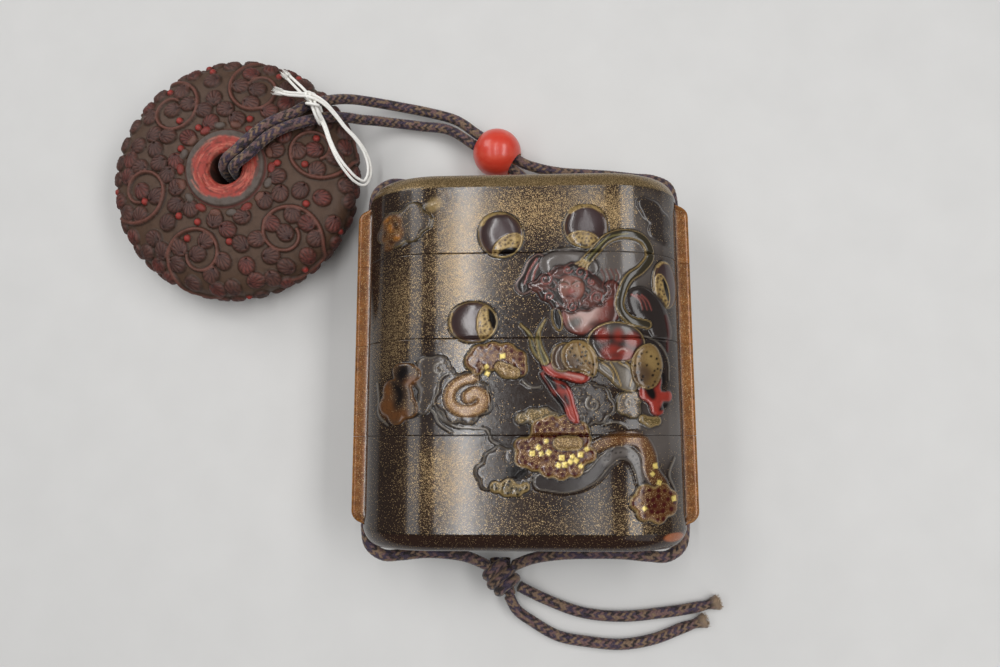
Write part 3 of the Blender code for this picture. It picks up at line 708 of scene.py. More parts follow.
def twisted_thread(path, along, closed=False):
    """Points and faces of a thread of three plies, whose grooves wind round it."""
    turn = np.linspace(0, math.tau, COTTON_SIDES, endpoint=False)[None, :]
    groove = np.abs(np.cos(1.5 * (turn + math.tau * along[:, None] / COTTON_PITCH)))
    radii = COTTON_RADIUS * (0.86 + 0.14 * groove)
    return sleeve(path, radii, COTTON_SIDES), ring_faces(len(path), COTTON_SIDES, wrap=closed)


def add_thread():
    path, along = smooth_path(ROUTES["thread"], COTTON_STEP)
    across = turning_frames(path)[0]
    apart = COTTON_APART + COTTON_SWAY * np.sin(along[:, None] / COTTON_WAVE)
    parts = [twisted_thread(path + across * apart * hand, along) for hand in (-1, 1)]
    for end, inner, seed in ((path[0], path[8], 41), (path[-1], path[-9], 43)):
        way = (end - inner) / np.linalg.norm(end - inner)
        parts.append(
            fibre_bundle(end, way, seed, COTTON_FIBRES, length=2.6 * MM, spread=0.9 * MM, radius=0.06 * MM)
        )
    piece = new_piece("cotton_thread", *joined(parts), cotton_finish, "cotton")
    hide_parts("tag_thread")
    return piece, path


def thread_turn(shift, axle, wide, deep):
    """A closed oval of thread round an axle."""
    way = Vector(axle).normalized()
    side = way.cross(Vector((0, 0, 1))).normalized()
    rise = side.cross(way)
    route = []
    for step in range(10):
        angle = math.tau * step / 10
        place = side * wide * math.cos(angle) + rise * deep * math.sin(angle)
        route.append(THREAD_KNOT + (Vector(shift) + place) * MM)
    path, along = smooth_path(route, COTTON_STEP, closed=True)
    return twisted_thread(path[:-1], along[:-1], closed=True)


def add_thread_knot():
    """Two turns round both strands, and four small ones that make the knot."""
    parts = [thread_turn(*turn) for turn in THREAD_TURNS]
    return new_piece("thread_knot", *joined(parts), cotton_finish, "cotton")


thread, thread_path = add_thread()
add_thread_knot()

# %% [markdown]
# ## The case
#
# Each tier is one closed sleeve: down inside its foot, up its outside, and down into the room that its
# riser encloses. All rings of a tier have the same columns, so the outside can be a fine sheet whose points
# are moved and coloured one by one. The sizes here repeat those of the solids.

# %% Sizes of the case, in millimetres
HALF_HEIGHT = 34.9
HALF_WIDTH = 30.8
HALF_THICKNESS = 12.8
HALF_FLAT = 15.5
BEND_LENGTH = 19.6
SEAMS = (-34.9, -14.5, 3.05, 19.0, 34.9)
SHOULDER_LENGTH = 3.2
SHOULDER_DEPTH = 2.9
SHOULDER_CREASE = math.radians(20)
RIB_HALF = 2.5
RIB_REACH = 2.5
RIB_END = 31.0
FRONT_WALL = 1.3
SIDE_WALL = 2.6
FLOOR = 1.4
END_WALL = 2.0
RISER_WALL = 1.0
RISER_HEIGHT = 4.0
GAP = 0.3
SEAM_GAP = 0.05
CHANNEL_RADIUS = 1.4
MOUTH_RADIUS = 2.2
MOUTH_SINK = 0.55
FINE = 0.2
COARSE = 0.45
RIM_BEVEL = 0.06
RIB_END_ROWS = (0.93, 0.97, 0.99, 1.0)
LEAST_STEP = 0.015
SHARP = math.radians(58)

# %% Columns of the outline
RIB_SECTION = (
    # share of the rib's half thickness, share of its reach
    (1.0, 0.1), (1.0, 0.3), (1.0, 0.5), (1.0, 0.68), (0.985, 0.8), (0.94, 0.9), (0.86, 0.97), (0.76, 1.0),
    (0.6, 1.0), (0.45, 1.0), (0.3, 1.0), (0.15, 1.0),
)


def quarter_columns(step):
    """(share of the flat, share of the bend) from the middle of one face to the rib."""
    flat = np.arange(0, HALF_FLAT, step) / HALF_FLAT
    bend = np.linspace(0, 1, int(BEND_LENGTH / step) + 1)
    return np.vstack([np.column_stack([flat, 0 * flat]), np.column_stack([0 * bend + 1, bend])])


def outline_columns():
    """All columns round the case: flat, bend, side (x), face (z), rib height, rib reach and rib order."""
    rib = [*RIB_SECTION, (0.0, 1.0), *[(-high, out) for high, out in RIB_SECTION[::-1]]]
    rib = np.column_stack([np.array(rib), np.linspace(1, -1, len(rib) + 2)[1:-1]])
    front, back = quarter_columns(FINE), quarter_columns(COARSE)
    blank = {len(part): np.zeros((len(part), 3)) for part in (front, back)}

    def face_part(part, side, face):
        signs = np.tile((side, face), (len(part), 1))
        return np.column_stack([part, signs, blank[len(part)]])

    def rib_part(side, order):
        fixed = np.tile((1.0, 1.0, side, 0.0), (len(rib), 1))
        return np.column_stack([fixed, rib])[::order]

    return np.vstack([
        face_part(front, 1, 1), rib_part(1, 1), face_part(back, 1, -1)[::-1],
        face_part(back, -1, -1)[1:], rib_part(-1, -1), face_part(front, -1, 1)[:0:-1],
    ])


COLUMNS = outline_columns()
ON_RIB = COLUMNS[:, 3] == 0
ON_FRONT = COLUMNS[:, 3] == 1
print(len(COLUMNS), "columns round the case")

# %% Rings of the case
SHOULDER_TURNS = np.linspace(SHOULDER_CREASE, math.pi / 2, 22)
SHOULDER_RISE = (np.sin(SHOULDER_TURNS) - math.sin(SHOULDER_CREASE)) / (1 - math.sin(SHOULDER_CREASE))
SHOULDER_Y = HALF_HEIGHT - SHOULDER_LENGTH + SHOULDER_LENGTH * SHOULDER_RISE
SHOULDER_INSET = SHOULDER_DEPTH * (1 - np.cos(SHOULDER_TURNS) / math.cos(SHOULDER_CREASE))


def rib_reach(y):
    into_round = np.clip((np.abs(y) - (RIB_END - RIB_REACH)) / RIB_REACH, 0, 1)
    return RIB_REACH * np.sqrt(1 - into_round ** 2)


def section(y, side_inset, front_inset, reach):
    """Points and outward directions of rings, in millimetres. Each argument has a value for each ring."""
    flat, bend, side, face, high, out, order = COLUMNS.T
    across = (HALF_WIDTH - HALF_FLAT - side_inset)[:, None]
    up = (HALF_THICKNESS - front_inset)[:, None]
    rib_angle = np.arcsin(RIB_HALF / up)
    angle = math.pi / 2 - (math.pi / 2 - rib_angle) * bend
    x = HALF_FLAT * flat + across * np.cos(angle)
    z = up * np.sin(angle) * face
    full = reach[:, None] / RIB_REACH
    rib_z = RIB_HALF * (high * full + order * (1 - full))
    skin_x = HALF_FLAT + across * np.sqrt(1 - (rib_z / up) ** 2)
    root = HALF_FLAT + across * np.cos(rib_angle)
    rib_x = np.maximum(skin_x, skin_x + out * (root + reach[:, None] - skin_x))
    x = np.where(ON_RIB, rib_x, x) * side
    z = np.where(ON_RIB, rib_z, z)
    way = np.stack([np.cos(angle) / across * side, 0 * x, np.sin(angle) / up * face], axis=-1)
    way[:, ON_RIB] = np.stack([side[ON_RIB], 0 * side[ON_RIB], 0 * side[ON_RIB]], axis=-1)
    way /= np.linalg.norm(way, axis=-1, keepdims=True)
    return np.stack([x, y[:, None] + 0 * x, z + HALF_THICKNESS], axis=-1), way


def skin_rows(low, high, closed_below, closed_above):
    """y of each ring up the outside of one tier."""
    rows = np.concatenate([
        np.arange(low + RIM_BEVEL, high - RIM_BEVEL, FINE),
        [low, high],
        -SHOULDER_Y if closed_below else [low + RIM_BEVEL],
        SHOULDER_Y if closed_above else [high - RIM_BEVEL],
    ])
    even = np.abs(rows) < HALF_HEIGHT - SHOULDER_LENGTH
    bent = np.isin(rows, SHOULDER_Y) | np.isin(rows, -SHOULDER_Y)
    ends = RIB_END - RIB_REACH * (1 - np.array(RIB_END_ROWS))
    ends = np.concatenate([ends, -ends])
    rows = np.concatenate([rows[even | bent], ends[(ends > low) & (ends < high)]])
    rows = np.unique(np.round(rows, 4))
    return rows[np.append(True, np.diff(rows) > LEAST_STEP)]


def tier_rings(low, high, closed_below, closed_above):
    """Values of all rings of a tier, and which of them are its outside."""
    low_rim = low if closed_below else low + SEAM_GAP / 2
    high_rim = high if closed_above else high - SEAM_GAP / 2
    recess = RISER_HEIGHT + 2 * GAP
    y = skin_rows(low_rim, high_rim, closed_below, closed_above)
    inset = np.interp(np.abs(y), SHOULDER_Y, SHOULDER_INSET)
    if not closed_below:
        inset[0] = RIM_BEVEL
    if not closed_above:
        inset[-1] = RIM_BEVEL
    outside = np.column_stack([y, inset, inset, rib_reach(y) - np.where(inset == RIM_BEVEL, RIM_BEVEL, 0)])
    before, after = [], []
    if closed_above:
        before.append((high_rim - END_WALL, SIDE_WALL, FRONT_WALL, 0))
    elif not closed_below:
        before.append((low_rim + recess, SIDE_WALL, FRONT_WALL, 0))
    if not closed_below:
        before.append((low_rim, SIDE_WALL, FRONT_WALL, 0))
    if not closed_above:
        floor_top = low_rim + (END_WALL if closed_below else recess + FLOOR)
        side, front = SIDE_WALL + GAP, FRONT_WALL + GAP
        after = [(high_rim, side, front, 0), (high_rim + RISER_HEIGHT, side, front, 0)]
        for level in (high_rim + RISER_HEIGHT, floor_top):
            after.append((level, side + RISER_WALL, front + RISER_WALL, 0))
    rings = np.vstack([part for part in (before, outside, after) if len(part)])
    shown = np.zeros(len(rings), bool)
    shown[len(before):len(before) + len(outside)] = True
    return rings, shown


# %% [markdown]
# ## Raised and sprinkled lacquer
#
# The picture is built up as the lacquerer builds it: shapes in low relief, one over another, lines laid on
# them, and gold powder sprinkled over the ground. A shape is a rule that tells how far a point is from its
# edge. The same rule gives the shape's colour, its rounded height and a line along its edge.


# %% Shapes, in millimetres from the middle of the front
FAR_AWAY = 99.0
CLOUD_BLEND = 0.4


class Shape:
    """A flat shape. The rule gives each point's distance outside its edge, negative inside."""

    def __init__(self, points, reach, rule):
        points = np.array(points, float)
        self.low = points.min(axis=0) - reach
        self.high = points.max(axis=0) + reach
        self.rule = rule

    def grown(self, distance):
        rule = self.rule
        return Shape([self.low, self.high], abs(distance), lambda x, y: rule(x, y) - distance)

    def edge(self, width, inward=0.0):
        """A line along the edge, or inside it."""
        rule = self.rule
        return Shape([self.low, self.high], width, lambda x, y: np.abs(rule(x, y) + inward) - width / 2)

    def within(self, other):
        rule, other_rule = self.rule, other.rule
        return Shape([self.low, self.high], 0.0, lambda x, y: np.maximum(rule(x, y), other_rule(x, y)))


def turned_axes(x, y, cx, cy, turn):
    """Places as seen from a centre, along axes that are turned by degrees."""
    c, s = math.cos(math.radians(turn)), math.sin(math.radians(turn))
    return (x - cx) * c + (y - cy) * s, (y - cy) * c - (x - cx) * s


def oval(cx, cy, wide, tall, turn=0.0):
    """An ellipse from its half sizes, turned by degrees."""
    def rule(x, y):
        u, v = turned_axes(x, y, cx, cy, turn)
        k = np.sqrt((u / wide) ** 2 + (v / tall) ** 2)
        slope = np.sqrt((u / wide ** 2) ** 2 + (v / tall ** 2) ** 2) + 1e-9
        return k * (k - 1) / slope

    return Shape([(cx, cy)], max(wide, tall), rule)


def square(cx, cy, half, turn):
    def rule(x, y):
        u, v = turned_axes(x, y, cx, cy, turn)
        return np.maximum(np.abs(u), np.abs(v)) - half

    return Shape([(cx, cy)], 1.5 * half, rule)


def away_from_run(x, y, a, b):
    """The share along the run from a to b that is nearest to each point, and the distance to it."""
    run = b - a
    share = np.clip(((x - a[0]) * run[0] + (y - a[1]) * run[1]) / (run @ run), 0, 1)
    return share, np.hypot(x - a[0] - share * run[0], y - a[1] - share * run[1])


def stroke(points, start, end=None):
    """A brush line whose half width goes from start to end."""
    end = start if end is None else end
    line = smooth_path(points, 0.35)[0]
    halves = np.linspace(start, end, len(line))

    def rule(x, y):
        best = np.full(x.shape, FAR_AWAY)
        for a, b, near, far in zip(line[:-1], line[1:], halves[:-1], halves[1:]):
            share, away = away_from_run(x, y, a, b)
            best = np.minimum(best, away - (near + share * (far - near)))
        return best

    return Shape(line, max(start, end), rule)


def region(points):
    """A closed shape through the points."""
    ring = smooth_path(points, 0.6, closed=True)[0][:-1]

    def rule(x, y):
        best = np.full(x.shape, FAR_AWAY)
        inside = np.zeros(x.shape, bool)
        for a, b in zip(ring, np.roll(ring, -1, axis=0)):
            run = b - a
            best = np.minimum(best, away_from_run(x, y, a, b)[1])
            crosses = (a[1] > y) != (b[1] > y)
            inside ^= crosses & (x < a[0] + (y - a[1]) * run[0] / (run[1] + 1e-12))
        return np.where(inside, -best, best)

    return Shape(ring, 0.0, rule)


def bubbles(lobes):
    """A heap of circles, each (x, y, radius), whose meeting edges are filled in."""
    lobes = np.array(lobes, float)

    def rule(x, y):
        pull = sum(np.exp((radius - np.hypot(x - cx, y - cy)) / CLOUD_BLEND) for cx, cy, radius in lobes)
        return 0.25 * CLOUD_BLEND - CLOUD_BLEND * np.log(pull + 1e-30)

    return Shape(lobes[:, :2], lobes[:, 2].max() + CLOUD_BLEND, rule)


def spiral(cx, cy, radius, turns, start, hand):
    """Points of a line that winds inwards."""
    count = max(int(10 * turns), 5)
    points = []
    for i in range(count + 1):
        share = i / count
        angle = math.radians(start) + hand * share * turns * math.tau
        r = radius * (1 - 0.8 * share)
        points.append((cx + r * math.cos(angle), cy + r * math.sin(angle)))
    return points


# %% A sheet that takes layers
class Sheet:
    """Points of a surface that is laid flat, and what the layers make of them."""

    def __init__(self, x, y, color, dust):
        self.x, self.y = x, y
        self.height = np.zeros_like(x)
        self.color = np.tile(color, (*x.shape, 1)).astype(float)
        self.metal = np.zeros_like(x)
        self.dust = dust

    def lay(
        self, shape, color, height=0.0, rounding=0.6, ridge=0.0, metal=0.0, dust=0.0, cover=1.0, soft=0.09
    ):
        """One layer: height is of the shape's own body, and ridge is added to what lies there."""
        x, y = self.x, self.y
        near = (x > shape.low[0] - soft) & (x < shape.high[0] + soft)
        near &= (y > shape.low[1] - soft) & (y < shape.high[1] + soft)
        if not near.any():
            return
        away = shape.rule(x[near], y[near])
        share = ramp(-away, -soft, soft)
        bulge = np.sqrt(1 - (1 - np.clip((soft - away) / rounding, 0, 1)) ** 2)
        if height:
            level = self.height[near]
            self.height[near] = np.maximum(level * (1 - 0.5 * share), height * bulge)
        self.height[near] += ridge * share * bulge
        self.color[near] = blended(self.color[near], color, share * cover)
        self.metal[near] = blended(self.metal[near], metal, share * cover)
        self.dust[near] = blended(self.dust[near], dust, share * cover)


def lay_ovals(sheet, ovals, color, inside=None, **how):
    """Ovals of one colour, each (x, y, half wide, half tall, turn), kept inside a shape if one is given."""
    for values in ovals:
        shape = oval(*values) if inside is None else oval(*values).within(inside)
        sheet.lay(shape, color, **how)


def lay_strokes(sheet, lines, color, start, end=None, **how):
    for points in lines:
        sheet.lay(stroke(points, start, end), color, **how)


def speckles(sheet, shape, count, size, seed, color, ridge=0.0, spread=0.5):
    """Dots scattered evenly inside a shape."""
    rng = np.random.default_rng(seed)
    placed = []
    for attempt in range(count * 40):
        spot = rng.uniform(shape.low, shape.high)
        if shape.rule(spot[:1], spot[1:])[0] > -size * 1.1:
            continue
        if any(math.dist(spot, other) < size * (2 + spread) for other in placed):
            continue
        placed.append(spot)
        dot = oval(*spot, size * rng.uniform(0.8, 1.2), size * rng.uniform(0.75, 1.1), rng.uniform(0, 90))
        sheet.lay(dot, color, ridge=ridge, rounding=size)
        if len(placed) == count:
            break


# %% Colours of the lacquer
GROUND = tint(40, 30, 25)
BLACK = tint(20, 15, 14)
SMOKE = tint(46, 40, 38)
SMOKE_LIGHT = tint(90, 84, 80)
GREY = tint(66, 60, 57)
PALE_GREY = tint(104, 97, 88)
UMBER = tint(70, 54, 42)
STRAW = tint(150, 126, 82)
PALE_GOLD = tint(176, 150, 98)
FOIL = tint(226, 200, 112)
ORANGE_GOLD = tint(160, 104, 46)
ORANGE_BROWN = tint(96, 62, 35)
LENS_GOLD = tint(110, 87, 54)
BROWN_GOLD = tint(108, 74, 40)
OLIVE_GOLD = tint(96, 82, 52)
GREEN_GOLD = tint(110, 102, 62)
SCARF_DARK = tint(50, 45, 34)
DEEP_RED = tint(62, 20, 16)
RED = tint(138, 50, 40)
RED_BROWN = tint(104, 50, 42)
PINK = tint(126, 70, 64)
DUSKY_PINK = tint(94, 58, 52)
ROSE_GREY = tint(158, 128, 120)
SKIN = tint(120, 80, 70)
DRUM = tint(56, 43, 42)
# Colour of the painted highlight on the drums
PAINTED_DRUM_SHEEN = tint(76, 64, 66)
RIB_GOLD = tint(158, 102, 44)
LID_SHOULDER = tint(92, 79, 54)
SHOULDER_BROWN = tint(42, 27, 21)
WORN_ORANGE = tint(150, 84, 48)
INSIDE = tint(50, 20, 16)

# %% Sprinkled gold
DUST = (
    # middle x and y, spread x and y, density
    (3, 27, 16, 5, 0.4), (-12, 15, 4, 8, 0.45), (-3, 13, 5, 4, 0.12), (-24, 2, 4, 11, 0.3),
    (-14, -22, 6, 7, 0.42), (5, -31, 20, 2.5, 0.12), (-2, -26, 6, 4, 0.06), (17, 26, 5, 5, 0.5),
    (-21, 12, 5, 7, 0.2), (20, -28, 8, 4, 0.2), (-10, 24, 7, 5, 0.2), (-11, 0, 3, 20, 0.25),
)
SMOKY = (
    # middle x and y, half sizes and colour of the ground's plainer areas
    (24, 25, 5, 6, SMOKE_LIGHT), (19, 16, 7, 5, SMOKE_LIGHT), (25, -14, 4, 6, SMOKE_LIGHT),
    (20, 4, 8, 7, SMOKE), (3, -7, 8, 5, GROUND), (-2, -15, 6, 3, GROUND), (-13, -13, 6, 3, SMOKE),
    (-16, -5, 7, 5, SMOKE),
)

# %% [markdown]
# The picture shows a figure among clouds with its ring of drums, an old subject in this craft. Each group
# of shapes has its own function, so that one can be changed without the others.

# %% Drums
DRUM_RINGS = (
    # body, then near head, then the dark of the head: x, y, half wide, half tall, turn
    ((-3.7, 22.3, 4.1, 4.4, 30), (-2.4, 20.1, 3.2, 1.9, 35), (-2.3, 19.0, 2.0, 0.8, 14)),
    ((12.0, 23.7, 4.1, 4.1, 0), (11.4, 20.9, 3.0, 1.8, -8), (10.9, 19.8, 1.5, 0.6, -10)),
    ((-8.8, 6.0, 4.5, 3.8, 0), (-6.2, 5.6, 1.9, 3.5, 0), (-5.2, 6.6, 0.7, 2.2, 12)),
    ((26.8, 13.4, 2.6, 4.5, 0), (26.0, 12.1, 1.3, 3.2, 12), (26.7, 12.6, 0.5, 2.2, 12)),
)
FAR_RIMS = (
    ([(-7.2, 24.4), (-6.4, 25.6), (-4.6, 26.4), (-2.9, 26.4)], 0.42),
    ([(9.2, 26.6), (11.0, 27.5), (13.2, 27.5), (15.0, 26.4)], 0.45),
    ([(-12.7, 7.6), (-13.0, 5.8), (-12.6, 4.2)], 0.22),
    ([(25.2, 16.6), (26.4, 17.6), (27.6, 17.6)], 0.22),
)


def draw_drums(sheet):
    for number, (body, head, dark) in enumerate(DRUM_RINGS):
        barrel, face = oval(*body), oval(*head)
        # Painted shade round the drum's foot
        sheet.lay(barrel.grown(0.35), BLACK, cover=0.8)
        sheet.lay(barrel, DRUM, height=0.48, rounding=3.0, metal=0.1)
        x, y, wide, tall, turn = body
        # Painted highlight towards the drum's upper right
        sheen = oval(x + 0.6, y + 0.9, wide * 0.5, tall * 0.5, turn)
        sheet.lay(sheen, PAINTED_DRUM_SHEEN, cover=0.5, soft=1.1)
        sheet.lay(barrel.edge(0.14, 0.08), STRAW, ridge=0.04, metal=0.4, cover=0.8)
        sheet.lay(barrel.edge(0.1, 0.5), BROWN_GOLD, metal=0.3, cover=0.5)
        face = face.within(barrel.grown(-0.1))
        sheet.lay(face, LENS_GOLD, ridge=0.05, rounding=0.5, metal=0.3)
        sheet.lay(face.grown(-0.5), PALE_GOLD, metal=0.35, soft=0.6, cover=0.7)
        speckles(sheet, face, 18, 0.24, 60 + number, UMBER)
        sheet.lay(oval(*dark).within(barrel), BLACK, ridge=-0.05, soft=0.16)
        sheet.lay(face.edge(0.15, 0.06), PALE_GOLD, ridge=0.05, metal=0.4)
    for points, half in FAR_RIMS:
        sheet.lay(stroke(points, half, half * 0.5), STRAW, ridge=0.04, metal=0.5)


# %% Clouds, each a heap of round lobes
TOP_LEFT = [
    (-24.7, 25.5, 2.3), (-23.5, 22.6, 2.0), (-20.2, 27.2, 1.9), (-18.2, 25.2, 1.8), (-20.3, 23.2, 1.8),
    (-21.6, 25.0, 2.8), (-26.4, 23.6, 1.6),
]
TOP_RIGHT = [(24.6, 27.2, 2.2), (27.0, 25.6, 1.9), (25.4, 23.4, 1.7), (22.9, 28.4, 1.3), (27.4, 22.4, 1.3)]
LEFT_BLACK = [
    (-21.1, -3.4, 2.1), (-23.8, -6.2, 1.9), (-24.8, -9.0, 1.7), (-22.9, -11.0, 1.6), (-20.4, -9.6, 1.8),
    (-21.9, -7.2, 2.3), (-19.4, -3.4, 1.3), (-22.6, -2.6, 1.1),
]
LEFT_GREY = [
    (-17.4, -2.2, 1.9), (-14.9, -1.8, 1.8), (-13.4, -3.6, 1.4), (-18.0, -4.6, 1.6), (-15.8, -4.4, 2.0),
    (-16.8, -7.4, 1.9), (-17.9, -9.4, 1.4),
]
SPIRAL_GREY = [
    (-12.8, -5.6, 2.4), (-14.2, -8.4, 1.8), (-12.4, -10.6, 1.8), (-9.6, -10.9, 1.7), (-7.0, -9.2, 1.6),
    (-7.4, -6.4, 1.5), (-10.4, -8.0, 2.8), (-9.8, -4.6, 1.5),
]
ARCH = [
    (-8.9, -1.2, 1.5), (-7.7, 0.3, 1.6), (-5.2, 0.9, 1.5), (-2.6, 0.6, 1.6), (-0.5, -0.7, 1.5),
    (-0.3, -2.7, 1.4), (-5.6, -1.0, 2.0), (-3.2, -0.9, 1.6), (-8.0, -2.8, 0.9),
]
HOOKS = (
    [(-4.0, -2.2, 0.9), (-2.8, -3.0, 1.3), (-1.2, -3.4, 1.0)],
    [(6.6, -15.9, 1.1), (8.0, -15.8, 1.3), (9.6, -15.9, 1.2)],
)
SMALL_GOLD = [(-0.2, -11.5, 1.1), (1.8, -10.8, 1.2), (4.0, -10.6, 1.2), (5.8, -11.3, 1.0), (2.8, -12.0, 1.4)]
BESIDE_LEG = [
    (9.9, -6.9, 1.3), (12.2, -6.4, 1.4), (14.2, -7.3, 1.5), (15.3, -9.5, 1.5), (13.8, -11.2, 1.3),
    (11.6, -11.8, 1.1), (10.4, -9.6, 1.4), (12.6, -9.1, 2.2),
]
GREAT = [
    (3.2, -13.2, 1.6), (5.2, -12.5, 1.6), (7.9, -12.4, 1.6), (10.2, -13.5, 1.6), (10.9, -15.2, 1.4),
    (-0.1, -16.2, 1.4), (0.1, -18.6, 1.5), (2.2, -19.4, 1.4), (4.6, -20.5, 1.4), (6.9, -21.0, 1.4),
    (9.4, -20.5, 1.4), (12.0, -18.0, 1.2), (3.4, -16.6, 2.9), (7.3, -16.8, 3.2), (9.8, -18.0, 2.0),
]
LOW_DARK = [
    (-5.6, -18.6, 1.3), (-4.0, -17.6, 1.3), (-1.8, -18.0, 1.3), (-7.2, -20.9, 1.3), (-6.3, -22.8, 1.3),
    (-4.6, -20.6, 2.6), (-2.0, -20.4, 1.8), (-0.2, -19.6, 1.3),
]
LOW_SPOTTED = [
    (-4.8, -23.5, 1.0), (-2.8, -24.1, 1.1), (-0.9, -24.2, 1.0), (0.6, -23.5, 0.8), (-2.4, -23.1, 1.1),
]
RIGHT_LOW = [
    (21.5, -24.6, 1.6), (20.0, -26.2, 1.3), (21.3, -28.1, 1.4), (24.0, -28.6, 1.5), (26.4, -27.4, 1.3),
    (26.7, -25.6, 1.3), (24.9, -24.4, 1.5), (23.7, -26.4, 2.6),
]
UNDER_FOOT = [(18.4, -8.3, 1.5), (20.3, -7.8, 1.3), (19.9, -10.2, 1.4), (18.0, -9.8, 1.1)]
TOES = [(21.6, -11.6, 0.8), (22.9, -12.2, 0.9), (24.3, -11.9, 0.8)]

CURLS = (
    # x, y, radius, turns, start in degrees, hand
    (-14.9, -2.6, 1.3, 1.1, 60, 1), (12.8, -9.0, 1.4, 1.2, 120, 1),
    (19.0, -8.9, 1.1, 1.1, 30, 1),
)
CONTOURS = (
    # points, half width
    ([(-16.5, 28.8), (-18.5, 27.6), (-17.9, 25.6), (-19.6, 22.6), (-22.4, 21.0)], 0.2),
    ([(-15.5, -5.4), (-15.6, -8.6), (-14.2, -11.6), (-12.0, -12.8), (-8.5, -13.2), (-6.3, -13.5),
      (-5.4, -15.4), (-3.9, -16.3)], 0.22),
    ([(-27.0, -4.8), (-26.6, -8.0), (-26.6, -10.4), (-24.6, -12.6)], 0.2),
    ([(-19.0, -10.6), (-17.4, -9.4), (-15.9, -10.2), (-14.9, -12.2), (-12.6, -13.9)], 0.2),
    ([(0.2, -4.9), (1.6, -5.9), (3.4, -5.9)], 0.18),
    ([(-1.7, -19.6), (-3.3, -20.8), (-2.5, -22.4), (-0.4, -22.7), (1.8, -22.3)], 0.2),
    ([(12.6, 18.9), (9.0, 19.6), (5.0, 19.0), (1.6, 17.6)], 0.14),
    ([(21.6, 3.6), (24.6, 2.6), (26.8, -0.4), (27.0, -4.4)], 0.14),
    ([(27.6, -18.6), (26.4, -21.6), (27.4, -24.0), (28.2, -26.2)], 0.18),
    ([(14.4, -12.6), (16.8, -12.2), (18.8, -13.2)], 0.16),
)
GRAINY_SPIRAL = [
    (-8.6, -4.2), (-11.0, -4.8), (-12.7, -6.4), (-12.9, -8.5), (-11.4, -9.9), (-9.2, -10.1), (-7.3, -9.2),
    (-7.0, -7.7), (-8.3, -6.9), (-9.6, -7.6),
]
GREY_BAND = [
    (3.4, -22.6), (8.3, -23.1), (12.2, -21.6), (14.8, -18.9), (17.2, -17.5), (19.5, -18.3), (20.7, -20.5),
    (21.2, -22.6),
]
GOLD_BAND = [
    (11.8, -17.2), (14.5, -15.9), (17.6, -15.1), (20.9, -15.5), (22.3, -17.8), (22.7, -20.9), (24.4, -23.4),
]
ORANGE_PATCHES = (
    # x, y, half wide, half tall, turn
    (-24.3, 25.4, 2.0, 1.5, 25), (-24.9, 22.9, 1.5, 1.5, 10), (-23.4, 23.8, 1.3, 1.7, 40),
    (-25.0, 21.3, 1.2, 0.8, 15),
)
ORANGE_LIGHTS = ((-24.6, 24.6, 0.5, 0.8, 20), (-23.2, 22.4, 0.6, 0.4, 0), (-25.4, 26.4, 0.8, 0.3, 30))
ORANGE_DARKS = ((-23.5, 25.0, 0.5, 0.9, 20), (-24.4, 21.9, 0.4, 0.7, 60), (-25.7, 23.6, 0.3, 0.8, 0))
LEFT_ORANGE = (
    (-24.6, -9.4, 1.6, 1.8, 15), (-22.2, -10.8, 1.9, 1.0, 15), (-20.2, -4.6, 1.3, 0.8, 15),
    (-24.6, -6.2, 0.9, 1.4, 15),
)
LEFT_CORE = [(-21.4, -2.8), (-22.6, -5.0), (-22.0, -7.4), (-22.6, -9.0)]
GOLD_SQUARES = (
    (4.3, -15.5), (2.9, -16.6), (1.8, -17.6), (3.4, -17.7), (4.7, -17.5), (7.0, -18.4), (8.9, -18.2),
    (9.5, -18.9), (10.3, -17.9), (11.4, -16.9), (6.4, -19.7), (7.5, -19.6), (10.3, -19.9), (8.5, -19.1),
    (-3.4, -0.3), (-6.3, -2.2), (-6.2, -3.4), (23.5, -19.9), (22.9, -21.3), (24.1, -22.8), (26.8, -25.7),
    (21.2, -27.2),
)


def lay_cloud(sheet, lobes, color, rim, height=0.42, metal=0.1, dust=0.05, cover=1.0):
    cloud = bubbles(lobes)
    # Painted shade round the cloud's foot
    sheet.lay(cloud.grown(0.4), BLACK, cover=0.55, soft=0.3)
    sheet.lay(cloud, color, height=height, rounding=0.7, metal=metal, dust=dust, cover=cover)
    sheet.lay(cloud.edge(0.2, 0.08), rim, ridge=0.03, metal=0.35, cover=0.9)
    return cloud


def draw_upper_clouds(sheet):
    for points, half in CONTOURS:
        # Painted shade along both sides of each raised line
        sheet.lay(stroke(points, half + 0.5, half + 0.3), BLACK, cover=0.5, soft=0.4)
        sheet.lay(stroke(points, half, half * 0.6), PALE_GREY, height=0.12, rounding=0.3, metal=0.2)
    lay_cloud(sheet, TOP_RIGHT, SMOKE, GREY, height=0.25, cover=0.8)
    lay_cloud(sheet, TOP_LEFT, GREY, OLIVE_GOLD, height=0.34, dust=0.1)
    sheet.lay(oval(-24.3, 24.0, 2.1, 2.9, -15), UMBER, cover=0.9, soft=0.8)
    lay_ovals(
        sheet, ORANGE_PATCHES, ORANGE_BROWN, ridge=0.04, rounding=0.8, metal=0.4, dust=0.2, soft=0.5
    )
    lay_ovals(sheet, ORANGE_LIGHTS, ORANGE_GOLD, ridge=0.08, metal=0.5, soft=0.5)
    lay_ovals(sheet, ORANGE_DARKS, BLACK, soft=0.5, cover=0.8)
    sheet.lay(oval(-16.2, 28.4, 1.6, 1.2, 40), STRAW, metal=0.4, soft=0.5, cover=0.7)


